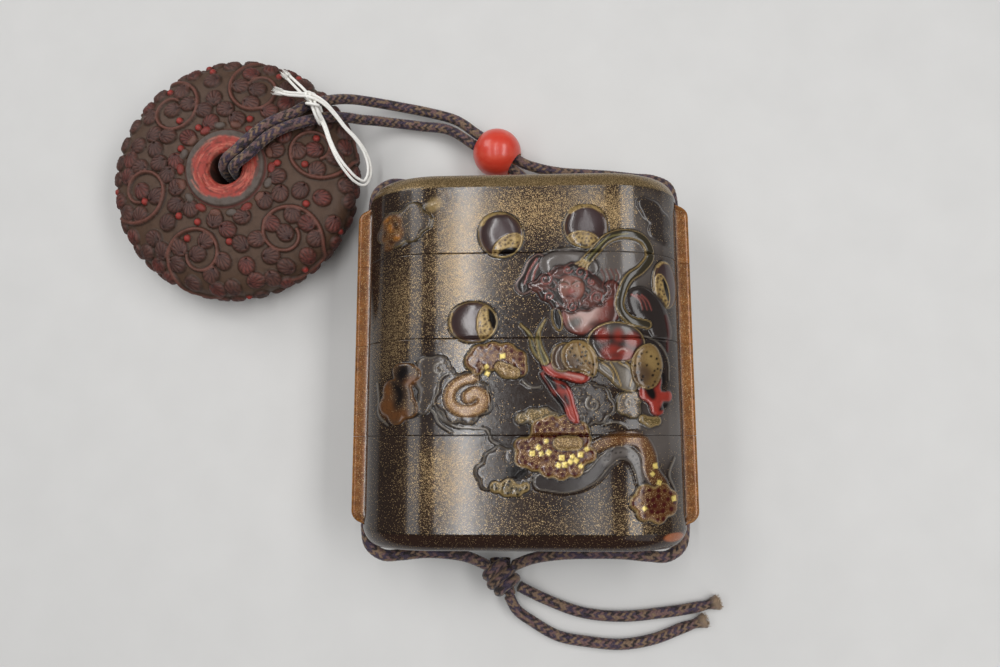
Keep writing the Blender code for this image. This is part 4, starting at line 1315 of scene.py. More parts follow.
def draw_left_clouds(sheet):
    lay_cloud(sheet, LEFT_GREY, GREY, PALE_GREY, height=0.3, dust=0.04)
    black = lay_cloud(sheet, LEFT_BLACK, UMBER, BROWN_GOLD, height=0.36, dust=0.1)
    lay_ovals(sheet, LEFT_ORANGE, ORANGE_BROWN, metal=0.3, soft=0.8)
    sheet.lay(stroke(LEFT_CORE, 1.3, 0.7).within(black.grown(-0.2)), BLACK, soft=0.9)
    lay_cloud(sheet, SPIRAL_GREY, SMOKE, PALE_GREY, height=0.3)
    band = stroke(GRAINY_SPIRAL, 0.85, 1.15)
    sheet.lay(band, BROWN_GOLD, height=0.44, rounding=0.9, metal=0.3, dust=0.28, soft=0.35)


def draw_lower_clouds(sheet):
    lay_cloud(sheet, BESIDE_LEG, SMOKE, PALE_GREY, height=0.36)
    lay_cloud(sheet, SMALL_GOLD, OLIVE_GOLD, PALE_GREY, height=0.34, dust=0.25)
    lay_cloud(sheet, LOW_DARK, SMOKE, PALE_GREY, height=0.36)
    sheet.lay(oval(-1.0, -20.9, 1.9, 1.2, -10), BLACK, soft=0.3)
    spotted = lay_cloud(sheet, LOW_SPOTTED, OLIVE_GOLD, STRAW, height=0.34, dust=0.1)
    speckles(sheet, spotted, 14, 0.26, 90, BLACK)
    grey_band, grey_end = stroke(GREY_BAND, 1.4, 1.0), GREY_BAND[3:]
    sheet.lay(grey_band, SMOKE, height=0.32, rounding=0.8, soft=0.4)
    sheet.lay(grey_band.edge(0.2, 0.05), PALE_GREY, ridge=0.04, metal=0.2, cover=0.8)
    sheet.lay(stroke(grey_end, 0.8, 0.6), SMOKE_LIGHT, soft=0.5)
    speckles(sheet, stroke(grey_end, 1.0, 0.8), 20, 0.17, 97, BLACK)
    gold_band = stroke(GOLD_BAND, 0.8, 1.3)
    sheet.lay(gold_band, ORANGE_BROWN, height=0.34, rounding=0.9, metal=0.3, dust=0.15, soft=0.55)
    for number, (lobes, dots) in enumerate(((ARCH, 30), (GREAT, 74), (RIGHT_LOW, 30))):
        cloud = lay_cloud(sheet, lobes, ORANGE_BROWN, STRAW, height=0.46, metal=0.25, dust=0.14)
        speckles(sheet, cloud, dots, 0.42, 80 + number, DEEP_RED, spread=0.3)
    sheet.lay(oval(23.8, -26.6, 1.8, 1.5), DEEP_RED, cover=0.55, soft=0.9)


def draw_cloud_marks(sheet):
    """Hooks, curls and squares of gold leaf, laid over the clouds."""
    for lobes in HOOKS:
        hook = bubbles(lobes)
        # Painted shade round the hook's foot
        sheet.lay(hook.grown(0.3), BLACK, cover=0.7, soft=0.25)
        sheet.lay(hook, LENS_GOLD, height=0.48, rounding=0.9, metal=0.35, dust=0.3)
        sheet.lay(hook.edge(0.16, 0.06), STRAW, ridge=0.03, metal=0.5)
    lay_cloud(sheet, UNDER_FOOT, SMOKE_LIGHT, OLIVE_GOLD, height=0.36, dust=0.15)
    lay_cloud(sheet, TOES, OLIVE_GOLD, STRAW, height=0.3, dust=0.15)
    curls = [spiral(*curl) for curl in CURLS]
    lay_strokes(sheet, curls, PALE_GREY, 0.22, 0.14, ridge=0.05, rounding=0.3, metal=0.3)
    for number, (x, y) in enumerate(GOLD_SQUARES):
        leaf = square(x, y, 0.36 + 0.05 * (number % 3), 20 + 31 * number)
        # Painted shade round the square's edge
        sheet.lay(leaf.grown(0.12), BLACK, cover=0.5)
        sheet.lay(leaf, FOIL, ridge=0.05, rounding=0.2, metal=0.35)


# %% The figure's cloths, legs and body
CHEST = [
    (7.4, 7.9), (8.3, 4.6), (11.0, 3.5), (13.4, 4.7), (17.4, 6.3), (18.0, 10.0), (17.0, 13.4), (13.6, 11.6),
]
CHEST_SHEEN = [(8.4, 7.2), (9.4, 4.8), (11.6, 4.6), (13.6, 6.6), (14.0, 9.4), (11.6, 9.0)]
BACK = [
    (18.8, 10.4), (21.4, 12.4), (24.6, 11.2), (27.2, 7.6), (27.4, 3.2), (24.8, 2.8), (22.4, 6.0),
    (19.4, 8.0),
]
THIGH = [
    (3.6, -0.6), (5.4, -1.4), (8.6, -3.0), (12.4, -4.4), (11.4, -5.2), (7.8, -4.6), (5.0, -3.9),
    (3.7, -2.6),
]
SHIN = [
    (3.7, -3.0), (5.6, -4.2), (8.3, -5.6), (9.5, -8.8), (9.8, -12.6), (8.5, -11.9), (7.3, -9.4),
    (4.8, -6.0),
]
RIGHT_LEG = [
    (24.6, -2.6), (25.4, -4.6), (25.2, -6.4), (27.3, -6.6), (27.2, -8.2), (25.4, -8.6), (25.6, -10.4),
    (23.4, -10.8), (22.6, -8.8), (21.0, -7.8), (21.6, -5.4), (23.6, -5.2),
]
GREY_CLOTH = [
    (13.4, -1.8), (15.6, -4.4), (18.0, -6.4), (20.2, -6.6), (20.6, -3.6), (19.0, -1.6), (16.2, -1.4),
]
DARK_LOBE = [(5.3, -1.2), (6.2, 1.4), (8.4, 2.0), (9.4, -0.4), (8.2, -3.0), (6.4, -3.0)]
LEFT_CLOTH = [(7.4, 0.8), (9.6, 2.5), (12.4, 1.4), (13.6, -2.0), (13.0, -4.0), (10.6, -3.2), (8.2, -2.6)]
RIGHT_CLOTH = [(21.2, 1.2), (23.8, 1.9), (25.5, -0.6), (25.2, -3.8), (22.8, -6.2), (20.4, -5.2), (19.7, -2.2)]
CLOTH_FOLD = [(10.2, 2.2), (10.9, -0.2), (12.6, -2.6)]
SCARF = [
    (11.7, 16.9), (13.6, 19.0), (16.0, 21.4), (19.6, 22.3), (22.8, 21.2), (23.8, 18.6), (22.2, 16.0),
    (19.6, 13.9), (18.3, 11.3), (17.9, 8.5), (19.3, 6.5), (22.8, 5.5),
]
HORNS = (
    [(-0.2, 5.6), (1.5, 3.6), (2.3, 1.0), (4.2, -1.2)],
    [(4.4, 6.4), (3.1, 3.8), (3.3, 1.2), (4.2, -1.2)],
)


# Patches of shade and light on the body, each x, y, half wide, half tall, turn
BELLY_PATCHES = (
    (14.6, 3.4, 1.1, 1.3, 30), (17.4, 3.3, 0.8, 1.1, 0), (20.0, 2.6, 1.3, 1.2, -20),
    (15.9, 0.6, 1.5, 0.9, 20), (18.6, 0.2, 1.4, 0.8, -10), (17.0, -0.9, 2.2, 0.4, 0),
)
RIGHT_LEG_SHADE = ((22.9, -6.6, 0.9, 1.7, 25), (25.6, -9.4, 1.3, 0.5, 30), (25.9, -4.2, 0.4, 1.2, 0))
SHIN_SHADE = (
    (5.2, -5.0, 0.8, 1.9, 35), (6.9, -8.4, 0.6, 1.7, 25), (7.4, -5.8, 0.8, 0.5, -30),
    (8.0, -8.2, 0.4, 1.1, 20),
)
CHEST_SHADE = ((16.4, 12.0, 1.0, 2.2, 10), (16.6, 7.4, 0.9, 1.8, -20), (13.4, 5.4, 1.2, 0.6, 0))


def lay_part(sheet, points, color, edge=STRAW, height=0.44, rounding=1.5, metal=0.1):
    """One part of the figure, with painted shade round its foot and a thin line round it."""
    part = region(points)
    sheet.lay(part.grown(0.3), BLACK, cover=0.75, soft=0.25)
    sheet.lay(part, color, height=height, rounding=rounding, metal=metal)
    sheet.lay(part.edge(0.16, 0.06), edge, ridge=0.03, metal=0.5, cover=0.85)
    return part


def draw_legs(sheet):
    """The dark shape behind the figure, with its locks, and then the legs."""
    lay_part(sheet, BACK, SMOKE, edge=GREY, height=0.4)
    locks = [
        [(20.0 + shift, 10.9), (21.4 + shift * 0.8, 10.0), (22.0 + shift * 0.9, 8.2)]
        for shift in (0.0, 0.9, 1.8)
    ]
    lay_strokes(sheet, locks, PINK, 0.17, 0.1, ridge=0.05)
    sheet.lay(stroke([(26.6, 7.4), (27.0, 4.0), (27.0, 1.0)], 0.4, 0.25), DEEP_RED, ridge=0.03, soft=0.2)
    lay_part(sheet, RIGHT_LEG, RED, edge=DEEP_RED)
    lay_ovals(sheet, RIGHT_LEG_SHADE, BLACK, ridge=-0.03, soft=0.4)
    lay_part(sheet, SHIN, RED, edge=BLACK, rounding=0.9)
    lay_ovals(sheet, SHIN_SHADE, BLACK, soft=0.5)
    lay_part(sheet, THIGH, RED, edge=BLACK, rounding=0.9)
    sheet.lay(stroke([(5.0, -2.2), (8.0, -3.6), (11.0, -4.4)], 0.4, 0.2), ROSE_GREY, cover=0.5, soft=0.3)


def draw_trunk(sheet):
    chest = lay_part(sheet, CHEST, RED_BROWN, edge=DEEP_RED, height=0.46)
    # Painted highlight on the chest
    sheet.lay(region(CHEST_SHEEN).within(chest), ROSE_GREY, ridge=0.03, soft=1.1, cover=0.95)
    lay_ovals(sheet, CHEST_SHADE, SMOKE, inside=chest, soft=0.9, cover=0.7)
    # A further painted highlight inside the chest's sheen
    sheet.lay(oval(9.6, 5.6, 1.4, 1.0, 30).within(chest), SMOKE_LIGHT, soft=0.7)
    belly = oval(17.1, 2.1, 5.2, 3.7)
    # Painted shade round the belly's foot
    sheet.lay(belly.grown(0.35), BLACK, cover=0.8, soft=0.25)
    sheet.lay(belly, SMOKE, height=0.5, rounding=1.9, metal=0.1)
    # Painted highlight along the belly's top
    sheet.lay(oval(17.2, 4.4, 3.2, 0.9).within(belly), SMOKE_LIGHT, soft=0.9, cover=0.8)
    lay_ovals(sheet, BELLY_PATCHES, RED, soft=0.8, cover=0.75)
    sheet.lay(stroke([(17.2, 0.4), (18.0, 0.9), (18.8, 0.5)], 0.13), ROSE_GREY, ridge=0.04)
    sheet.lay(belly.edge(0.2, 0.08), STRAW, ridge=0.03, metal=0.5)
    small = oval(6.5, 6.4, 0.85, 2.1, 12)
    sheet.lay(small, BLACK, height=0.34, rounding=0.5)
    sheet.lay(small.edge(0.2), STRAW, ridge=0.04, metal=0.5)


def draw_cloths(sheet):
    grey = lay_part(sheet, GREY_CLOTH, PALE_GREY, height=0.42, rounding=1.0)
    for shift, sway in ((0.0, 0.6), (1.5, -0.3), (3.1, 0.9), (4.3, 0.2)):
        fold = [(14.4 + shift, -1.6), (15.6 + shift + sway, -3.2), (16.2 + shift, -5.8)]
        sheet.lay(stroke(fold, 0.5, 0.3).within(grey), SMOKE, cover=0.8, soft=0.4)
        sheet.lay(stroke(fold, 0.11).within(grey), STRAW, ridge=0.04)
    lay_part(sheet, DARK_LOBE, UMBER, height=0.42, rounding=1.4)
    for number, points in enumerate((LEFT_CLOTH, RIGHT_CLOTH)):
        cloth = lay_part(sheet, points, LENS_GOLD, height=0.48, rounding=1.1, metal=0.2)
        # Painted highlight towards the cloth's upper right, and painted shade towards its lower left
        x, y = cloth.low * 0.35 + cloth.high * 0.65
        sheet.lay(oval(x, y, 1.4, 2.0, 20).within(cloth), STRAW, cover=0.45, soft=0.8)
        x, y = cloth.low * 0.7 + cloth.high * 0.3
        sheet.lay(oval(x, y, 1.8, 1.7, 40).within(cloth), UMBER, cover=0.85, soft=0.9)
        sheet.lay(stroke(CLOTH_FOLD, 0.12).within(cloth), BROWN_GOLD, ridge=-0.05)
        speckles(sheet, cloth, 20, 0.24, 120 + number, BLACK, ridge=-0.02, spread=0.8)
    for horn in HORNS:
        blade = stroke(horn, 0.12, 0.75)
        # Painted shade round the horn's foot
        sheet.lay(blade.grown(0.25), BLACK, cover=0.8, soft=0.2)
        sheet.lay(blade, GREEN_GOLD, height=0.42, rounding=0.6, metal=0.3)
        sheet.lay(stroke(horn[1:], 0.1, 0.3), BLACK, cover=0.8)
        sheet.lay(blade.edge(0.14, 0.06), STRAW, ridge=0.03, metal=0.6)
    sheet.lay(stroke([(0.4, 4.6), (1.9, 2.6), (2.7, 0.4)], 0.1), BLACK)


def draw_scarf(sheet):
    band = stroke(SCARF, 0.9, 0.8)
    # Painted shade round the scarf's foot
    sheet.lay(band.grown(0.3), BLACK, cover=0.7, soft=0.25)
    sheet.lay(band, SCARF_DARK, height=0.44, rounding=0.7)
    sheet.lay(band.edge(0.17, 0.08), STRAW, ridge=0.04, metal=0.5)
    sheet.lay(stroke(SCARF[:4], 0.18, 0.12), GREEN_GOLD, ridge=0.03, metal=0.4)
    fringe = [
        [(11.9 + shift * 0.5, 17.0 - shift * 0.3), (11.0 + shift, 16.1 - shift * 0.6)]
        for shift in (-0.9, -0.3, 0.3, 0.9)
    ]
    lay_strokes(sheet, fringe, STRAW, 0.22, 0.16, height=0.4, rounding=0.3, metal=0.4)


# %% The head: curled hair and a plain small face
HAIR_LEFT = [
    (3.4, 18.6), (1.6, 17.6), (0.2, 14.8), (-1.0, 12.4), (0.0, 11.2), (2.8, 12.4), (4.6, 13.6), (5.0, 16.4),
]
CROWN = [
    (4.6, 14.4), (3.6, 17.2), (5.8, 18.9), (9.6, 19.2), (13.0, 18.0), (14.2, 15.4), (11.6, 14.2),
    (8.0, 14.6),
]
HAIR_MASS = [
    (1.2, 12.9), (2.7, 13.5), (3.7, 14.7), (5.3, 15.1), (6.3, 16.2), (8.2, 16.3), (9.4, 16.9), (11.2, 16.2),
    (12.6, 15.2), (13.9, 14.0), (15.2, 12.6), (16.2, 11.4), (15.3, 10.2), (14.9, 8.9), (13.4, 8.6),
    (12.2, 7.8), (10.6, 8.0), (9.0, 7.3), (7.6, 8.1), (5.9, 8.4), (5.0, 9.6), (3.6, 10.2), (3.0, 11.4),
]
HAIR_GLOW = (
    (3.6, 12.6, 1.6, 0.7, 10), (12.8, 9.6, 1.7, 0.9, 20), (7.0, 15.0, 1.6, 0.6, 20),
    (13.6, 12.2, 0.8, 1.6, 30),
)
HAIR_CURLS = (
    # x, y, radius, start in degrees, hand
    (4.4, 13.8, 1.3, 60, -1), (8.5, 15.6, 0.9, 340, -1), (10.9, 14.9, 1.3, 300, 1),
    (13.9, 10.3, 1.2, 200, -1), (5.2, 10.5, 0.9, 200, -1), (9.4, 8.6, 1.0, 100, 1),
    (12.9, 13.2, 0.7, 140, 1),
)
HAIR_WAVES = (
    [(1.4, 12.6), (3.0, 11.6), (5.0, 12.2), (6.4, 11.6)], [(2.0, 11.4), (3.6, 12.2), (5.4, 11.3)],
    [(5.9, 14.6), (7.0, 14.0), (8.4, 14.4), (9.6, 13.9)], [(6.4, 9.4), (7.6, 8.6), (8.4, 9.4), (8.0, 8.2)],
    [(10.8, 9.0), (12.0, 9.6), (12.6, 8.6), (13.2, 9.0)], [(12.0, 12.4), (12.9, 11.7), (12.4, 10.8)],
    [(13.0, 11.6), (15.0, 11.0), (17.0, 12.0)], [(14.8, 9.4), (16.0, 10.0), (17.2, 10.8)],
    [(11.6, 11.2), (12.2, 10.4), (11.4, 9.8), (12.0, 9.4)], [(6.0, 13.4), (6.6, 12.6), (6.0, 11.9)],
)
FACE = [
    (6.9, 12.4), (7.6, 13.9), (9.3, 14.3), (10.9, 13.6), (11.5, 12.0), (10.8, 10.3), (9.2, 9.6),
    (7.6, 10.3),
]


def draw_head(sheet):
    lay_part(sheet, HAIR_LEFT, SMOKE, edge=ROSE_GREY, height=0.4)
    locks = [[(2.9 + shift, 17.6), (1.5 + shift, 15.4), (0.6 + shift * 1.3, 12.9)] for shift in (0.0, 1.1)]
    lay_strokes(sheet, locks, PINK, 0.2, 0.14, ridge=0.05, cover=0.9)
    lay_part(sheet, CROWN, SMOKE_LIGHT, edge=GREY, height=0.5, rounding=2.4)
    hair = region(HAIR_MASS)
    # Painted shade round the hair's foot
    sheet.lay(hair.grown(0.3), BLACK, cover=0.8, soft=0.25)
    sheet.lay(hair, SMOKE, height=0.5, rounding=1.2)
    lay_ovals(sheet, HAIR_GLOW, DUSKY_PINK, cover=0.7, soft=0.7)
    sheet.lay(hair.edge(0.13, 0.06), DUSKY_PINK, ridge=0.03)
    curls = [spiral(x, y, radius, 1.15, start, hand) for x, y, radius, start, hand in HAIR_CURLS]
    lay_strokes(sheet, curls, PINK, 0.12, 0.08, ridge=0.06, rounding=0.25)
    lay_strokes(sheet, HAIR_WAVES, DUSKY_PINK, 0.13, 0.08, ridge=0.05, rounding=0.25)
    strands = [
        [(14.6 + shift, 15.6), (15.2 + shift, 14.0), (14.8 + shift * 0.8, 12.4), (15.4 + shift * 0.6, 10.8)]
        for shift in (0.0, 0.9, 1.8, 2.7)
    ]
    lay_strokes(sheet, strands, DUSKY_PINK, 0.13, 0.08, ridge=0.04, rounding=0.25)
    draw_face(sheet)


def draw_face(sheet):
    sheet.lay(region(FACE), SKIN, ridge=0.08, rounding=1.6, soft=0.25)
    sheet.lay(oval(9.2, 10.4, 1.7, 0.9), DUSKY_PINK, soft=0.6, cover=0.8)
    for x, y, lean in ((8.0, 12.3, -0.2), (10.2, 12.4, 0.2)):
        sheet.lay(oval(x, y, 0.5, 0.26), ROSE_GREY, ridge=0.05, rounding=0.3, soft=0.15)
        sheet.lay(oval(x, y, 0.18, 0.2), BLACK, soft=0.1)
        brow = [(x - 0.85, y + 0.6 - lean), (x, y + 0.95), (x + 0.85, y + 0.6 + lean)]
        sheet.lay(stroke(brow, 0.16, 0.12), UMBER, ridge=0.05, rounding=0.3, soft=0.1)
    sheet.lay(oval(9.1, 11.5, 0.55, 0.45), PINK, ridge=0.12, rounding=0.4, soft=0.12)
    sheet.lay(stroke([(8.3, 10.5), (9.1, 10.55), (9.9, 10.4)], 0.16), DEEP_RED, soft=0.15)
    beard = [[(x, 9.9), (x + 0.25, 9.1), (x - 0.1, 8.4)] for x in (7.7, 8.4, 9.2, 10.0, 10.6)]
    lay_strokes(sheet, beard, DUSKY_PINK, 0.12, 0.07, ridge=0.05)


# %% [markdown]
# The back doesn't show in the photograph. It gets the plain treatment that such cases have there: sprinkled
# gold in drifts, and a few small clouds.

# %% Drawing one face of a tier
BACK_DUST = ((-6, 24, 16, 7, 0.5), (10, 4, 14, 9, 0.4), (-12, -18, 12, 9, 0.5), (14, -26, 12, 5, 0.4))
BACK_CLOUDS = (
    (BROWN_GOLD, [(-15.0, 13.0, 1.8), (-12.6, 14.8, 2.0), (-9.8, 14.2, 1.9), (-7.6, 12.8, 1.5),
                  (-11.4, 12.4, 2.2)]),
    (GREY, [(11.0, 20.4, 1.5), (13.4, 21.4, 1.6), (15.6, 20.2, 1.4), (13.2, 19.4, 1.6)]),
    (BROWN_GOLD, [(4.6, -12.4, 1.9), (7.4, -10.6, 2.1), (10.4, -11.4, 2.0), (12.0, -13.4, 1.5),
                  (8.2, -13.2, 2.3)]),
    (GREY, [(-16.4, -8.6, 1.4), (-14.2, -7.0, 1.6), (-12.0, -8.0, 1.5), (-14.0, -9.2, 1.5)]),
)


RELIEF_LIMIT = 0.6
BESIDE_RIB = (29.7, 30.3)
GROOVE_DEPTH = 0.25
WORN_SPOT = (27.2, -32.6)
WORN_SPREAD = (2.4, 0.9)


def rim_fade(y, low, high):
    """Keeps raised work clear of a tier's rims and of the shoulders."""
    end = HALF_HEIGHT - SHOULDER_LENGTH
    low, high = max(low, -end), min(high, end)
    return ramp(y, low + 0.1, low + 0.35) * (1 - ramp(y, high - 0.35, high - 0.1))


def drift_density(x, y, drifts, least):
    """Density of sprinkled gold, from drifts that fade outwards."""
    density = least + 0 * x
    for cx, cy, wide, tall, much in drifts:
        density += much * np.exp(-((x - cx) / wide) ** 2 - ((y - cy) / tall) ** 2)
    return density


def draw_front(x, y):
    sheet = Sheet(x, y, GROUND, drift_density(x, y, DUST, 0.04))
    for cx, cy, wide, tall, color in SMOKY:
        sheet.lay(oval(cx, cy, wide, tall), color, cover=0.8, soft=3.0)
    for draw in (draw_upper_clouds, draw_left_clouds, draw_lower_clouds, draw_cloud_marks, draw_drums):
        draw(sheet)
    for draw in (draw_legs, draw_trunk, draw_cloths, draw_head, draw_scarf):
        draw(sheet)
    return sheet


def draw_back(x, y):
    sheet = Sheet(x, y, GROUND, drift_density(x, y, BACK_DUST, 0.06))
    for color, lobes in BACK_CLOUDS:
        cloud = bubbles(lobes)
        sheet.lay(cloud, color, metal=0.3, dust=0.3, cover=0.8)
        sheet.lay(cloud.edge(0.4, 0.2), STRAW, metal=0.5, dust=0.1)
    return sheet


def paint_ribs(points, color, metal, dust, reach):
    """Orange-gold cord ribs with a redder flank."""
    x, y, z = np.moveaxis(points, -1, 0)
    on_rib = ON_RIB[None, :] & (reach[:, None] > 0.05)
    flank = on_rib & (np.abs(z - HALF_THICKNESS) > RIB_HALF - 0.12)
    wear = 0.5 + 0.5 * np.sin(1.9 * y + 2.3 * np.sin(0.7 * y)) * np.sin(0.37 * y + x)
    top = np.array(RIB_GOLD) * (0.75 + 0.5 * wear[..., None])
    color[on_rib] = top[on_rib]
    color[flank] = (top * 0.55 + 0.3 * np.array(RED_BROWN))[flank]
    metal[on_rib] = 0.4
    dust[on_rib] = 0.12
    return color, metal, dust


def draw_outside(outside, low, high):
    """Lift, colour, metal and dust of a tier's outside, from the sheets of its two faces."""
    lift, metal, dust = np.zeros((3, *outside.shape[:2]))
    color = np.zeros(outside.shape)
    for columns, draw, raised in ((ON_FRONT, draw_front, 1), (~ON_FRONT, draw_back, 0)):
        x, y = outside[:, columns, 0], outside[:, columns, 1]
        sheet = draw(x, y)
        lift[:, columns] = np.clip(sheet.height, 0, RELIEF_LIMIT) * rim_fade(y, low, high) * raised
        color[:, columns], metal[:, columns], dust[:, columns] = sheet.color, sheet.metal, sheet.dust
    return lift, color, metal, dust


def shade_shoulders(outside, color, metal, dust):
    """Dusted gold on the lid's shoulder, dark brown on the base's, painted shade along the crease of both and
    one worn spot.
    """
    x, y = outside[..., 0], outside[..., 1]
    start = HALF_HEIGHT - SHOULDER_LENGTH
    shoulder = ramp(np.abs(y), start - 0.05, start + 0.1)
    above = y > 0
    tone = np.where(above[..., None], LID_SHOULDER, SHOULDER_BROWN)
    # Painted shade along the crease where each shoulder starts, stronger on the base
    crease = np.exp(-((np.abs(y) - start) / 0.22) ** 2) * (1 - 0.5 * above)
    off_spot = np.hypot((x - WORN_SPOT[0]) / WORN_SPREAD[0], (y - WORN_SPOT[1]) / WORN_SPREAD[1])
    color = blended(color, tone, shoulder) * (1 - 0.6 * crease[..., None])
    color = blended(color, WORN_ORANGE, ramp(-off_spot, -1.1, -0.7))
    return color, blended(metal, 0.25 * above, shoulder), blended(dust, 0.05 + 0.5 * above, shoulder)


def lacquered_tier(rings, shown, low, high):
    """Points and values of a tier, its outside drawn and raised."""
    y, side_inset, front_inset, reach = rings.T
    points, ways = section(y, side_inset, front_inset, reach)
    color = np.tile(INSIDE, (*points.shape[:2], 1)).astype(float)
    metal, dust = np.zeros(points.shape[:2]), np.full(points.shape[:2], 0.1)
    outside = points[shown]
    lift, skin_color, skin_metal, skin_dust = draw_outside(outside, low, high)
    near_rib = ramp(np.abs(outside[..., 0]), *BESIDE_RIB) * (~ON_RIB)[None, :] * (reach[shown] > 0.5)[:, None]
    lift = blended(lift, -GROOVE_DEPTH, near_rib)
    # Painted shade in the groove beside each rib, where the skin sinks
    skin_color = skin_color * (1 - 0.8 * near_rib[..., None])
    skin = paint_ribs(outside, skin_color, skin_metal, skin_dust * (1 - near_rib), reach[shown])
    color[shown], metal[shown], dust[shown] = shade_shoulders(outside, *skin)
    points[shown] += ways[shown] * lift[..., None]
    return points, color, metal, dust


# %% Lacquer
def lacquer_recipe(lacquer):
    paint = lacquer.attribute("paint", "Color")
    metal, dust = lacquer.attribute("metal"), lacquer.attribute("dust")
    grains = {"Vector": lacquer.place(), "Scale": 9000.0, "Randomness": 1.0}
    away = lacquer.add("ShaderNodeTexVoronoi", {"feature": "F1"}, grains, "Distance")
    grain = lacquer.add("ShaderNodeTexVoronoi", {"feature": "F1"}, grains, "Color")
    pick = lacquer.add("ShaderNodeSeparateColor", None, {"Color": grain}, "Red")
    tone = lacquer.add("ShaderNodeSeparateColor", None, {"Color": grain}, "Green")
    fleck = (pick < dust * (lacquer.noise(2600.0, 2.0) * 0.9 + 0.55)) * (away < 0.7)
    clouding = lacquer.noise(160.0, 3.0)
    shaded = paint.mixed(rgba(18, 12, 11), (clouding - 0.45).clamped() * 0.9)
    grain = (lacquer.noise(3000.0, 2.0, 0.6) - 0.5).clamped() * metal * 9.0
    grainy = shaded.mixed(rgba(44, 27, 18), grain.clamped())
    glow = grainy.mixed(rgba(92, 72, 48), dust * 0.4)
    gold = lacquer.plain(116, 92, 62).mixed(rgba(204, 174, 126), tone)
    wear = lacquer.noise(900.0, 4.0, 0.7)
    return {
        "Base Color": glow.mixed(gold, fleck * 0.75),
        "Metallic": (metal * 0.4 + fleck * 0.65).clamped(),
        "Roughness": wear * 0.1 + 0.09 + fleck * 0.24 + metal * 0.2,
        "Normal": lacquer.bump(wear, 0.00003, 0.5),
    }


lacquer_finish = new_finish(
    "sprinkled_lacquer", lacquer_recipe, Coat_Weight=0.12, Coat_Roughness=0.08, Specular_IOR_Level=0.35
)

# %% Channels through the ribs
CHANNEL_SIDES = 32


def channel_cutters(low_mouth, high_mouth):
    """One cutter for each rib, and a ball for each mouth that this tier has."""
    cutters = []
    for side in (-1, 1):
        bpy.ops.object.select_all(action="DESELECT")
        bpy.ops.mesh.primitive_cylinder_add(
            vertices=CHANNEL_SIDES,
            radius=CHANNEL_RADIUS * MM,
            depth=3 * HALF_HEIGHT * MM,
            location=(side * CHANNEL_X, 0, MIDDLE),
            rotation=(math.pi / 2, 0, 0),
        )
        cutters.append(bpy.context.object)
        for end, wanted in ((-1, low_mouth), (1, high_mouth)):
            if wanted:
                across = side * (CHANNEL_X - MOUTH_SINK * MM)
                along = end * (HALF_HEIGHT - MOUTH_SINK) * MM
                bpy.ops.mesh.primitive_uv_sphere_add(
                    segments=CHANNEL_SIDES,
                    ring_count=CHANNEL_SIDES // 2,
                    radius=MOUTH_RADIUS * MM,
                    location=(across, along, MIDDLE),
                )
                cutters.append(bpy.context.object)
    return cutters


def cut(piece, cutters):
    """Takes the cutters out of the piece and removes them."""
    for cutter in cutters:
        modifier = piece.modifiers.new("cut", "BOOLEAN")
        modifier.operation = "DIFFERENCE"
        modifier.solver = "MANIFOLD"
        modifier.object = cutter
    depsgraph = bpy.context.evaluated_depsgraph_get()
    mesh = bpy.data.meshes.new_from_object(piece.evaluated_get(depsgraph))
    piece.modifiers.clear()
    piece.data = mesh
    for cutter in cutters:
        bpy.data.objects.remove(cutter)


# %% Four tiers
TIERS = (
    # piece, and the solid's node that it replaces
    ("case_base", "base_case"), ("case_lower", "lower_case"), ("case_upper", "upper_case"),
    ("case_lid", "lid"),
)


def add_tier(number):
    name, node = TIERS[number]
    low, high = SEAMS[number:number + 2]
    rings, shown = tier_rings(low, high, number == 0, number == 3)
    points, color, metal, dust = lacquered_tier(rings, shown, low, high)
    rows, count = points.shape[:2]
    values = {"paint": color.reshape(-1, 3), "metal": metal.ravel(), "dust": dust.ravel()}
    piece = new_piece(
        name,
        points.reshape(-1, 3) * MM,
        ring_faces(rows, count),
        lacquer_finish,
        "lacquer",
        values,
        end_caps(rows, count),
    )
    cut(piece, channel_cutters(number == 0, number == 3))
    piece.data.set_sharp_from_angle(angle=SHARP)
    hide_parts(node)
    print(name, "has", len(piece.data.polygons), "faces after cutting")


for tier_number in range(len(TIERS)):
    add_tier(tier_number)

# %% [markdown]
# ## The carved toggle
#
# The toggle is turned, and its carving is laid over the turned skin: vines that wind into curls, domed
# leaves with fanned veins, berries, and a worn red ring round the hole. The skin is unrolled into a flat
# disc, in which a point's distance from the middle is measured along the surface, so leaves keep their
# shape over the edge.

# %% Sizes of the toggle, in millimetres
TOGGLE_CENTRE = (-61.5, 40.8)
TOGGLE_RADIUS = 25.9
TOGGLE_HALF = 6.8
TOGGLE_MIDDLE = 7.0
TOGGLE_ROUNDNESS = 2.6
TOGGLE_FOOT = 12.0
HOLE_RADIUS = 3.4
HOLE_FLOOR = 4.0
HOLE_ROUNDING = 1.2
WALL_ROWS = 12
RING_EDGE = 8.0
RING_FOOT = 8.6
RING_STEP = 0.2
# Steps along the skin where it is carved and where it is plain, and how far round it each part goes
CARVED_STEP = 0.21
PLAIN_STEP = 0.6
CARVED_TO = math.radians(118)
SKIN_TO = math.radians(130)
CARVING = 0.85
TOGGLE_COLUMNS = 560
CURL_COUNT = 6
CURL_START = math.radians(13)
CURL_PLACE = 18.6
COLLAR_COUNT = 18
COLLAR_PLACE = 9.6
STREAKS = 150
SPOT_TRIES = 14000


# %% The turned skin
def turned_point(slope):
    """(distance from the axis, height, outward slant) on the toggle's skin, from its top over its edge."""
    power = 2 / TOGGLE_ROUNDNESS
    out, rise = np.abs(np.sin(slope)), np.abs(np.cos(slope))
    upright = np.sign(np.cos(slope))
    flank = np.column_stack([out ** (2 - power) / TOGGLE_RADIUS, upright * rise ** (2 - power) / TOGGLE_HALF])
    flank /= np.linalg.norm(flank, axis=-1, keepdims=True)
    across = TOGGLE_RADIUS * out ** power
    up = TOGGLE_MIDDLE + TOGGLE_HALF * upright * rise ** power
    return np.column_stack([across, up, flank])


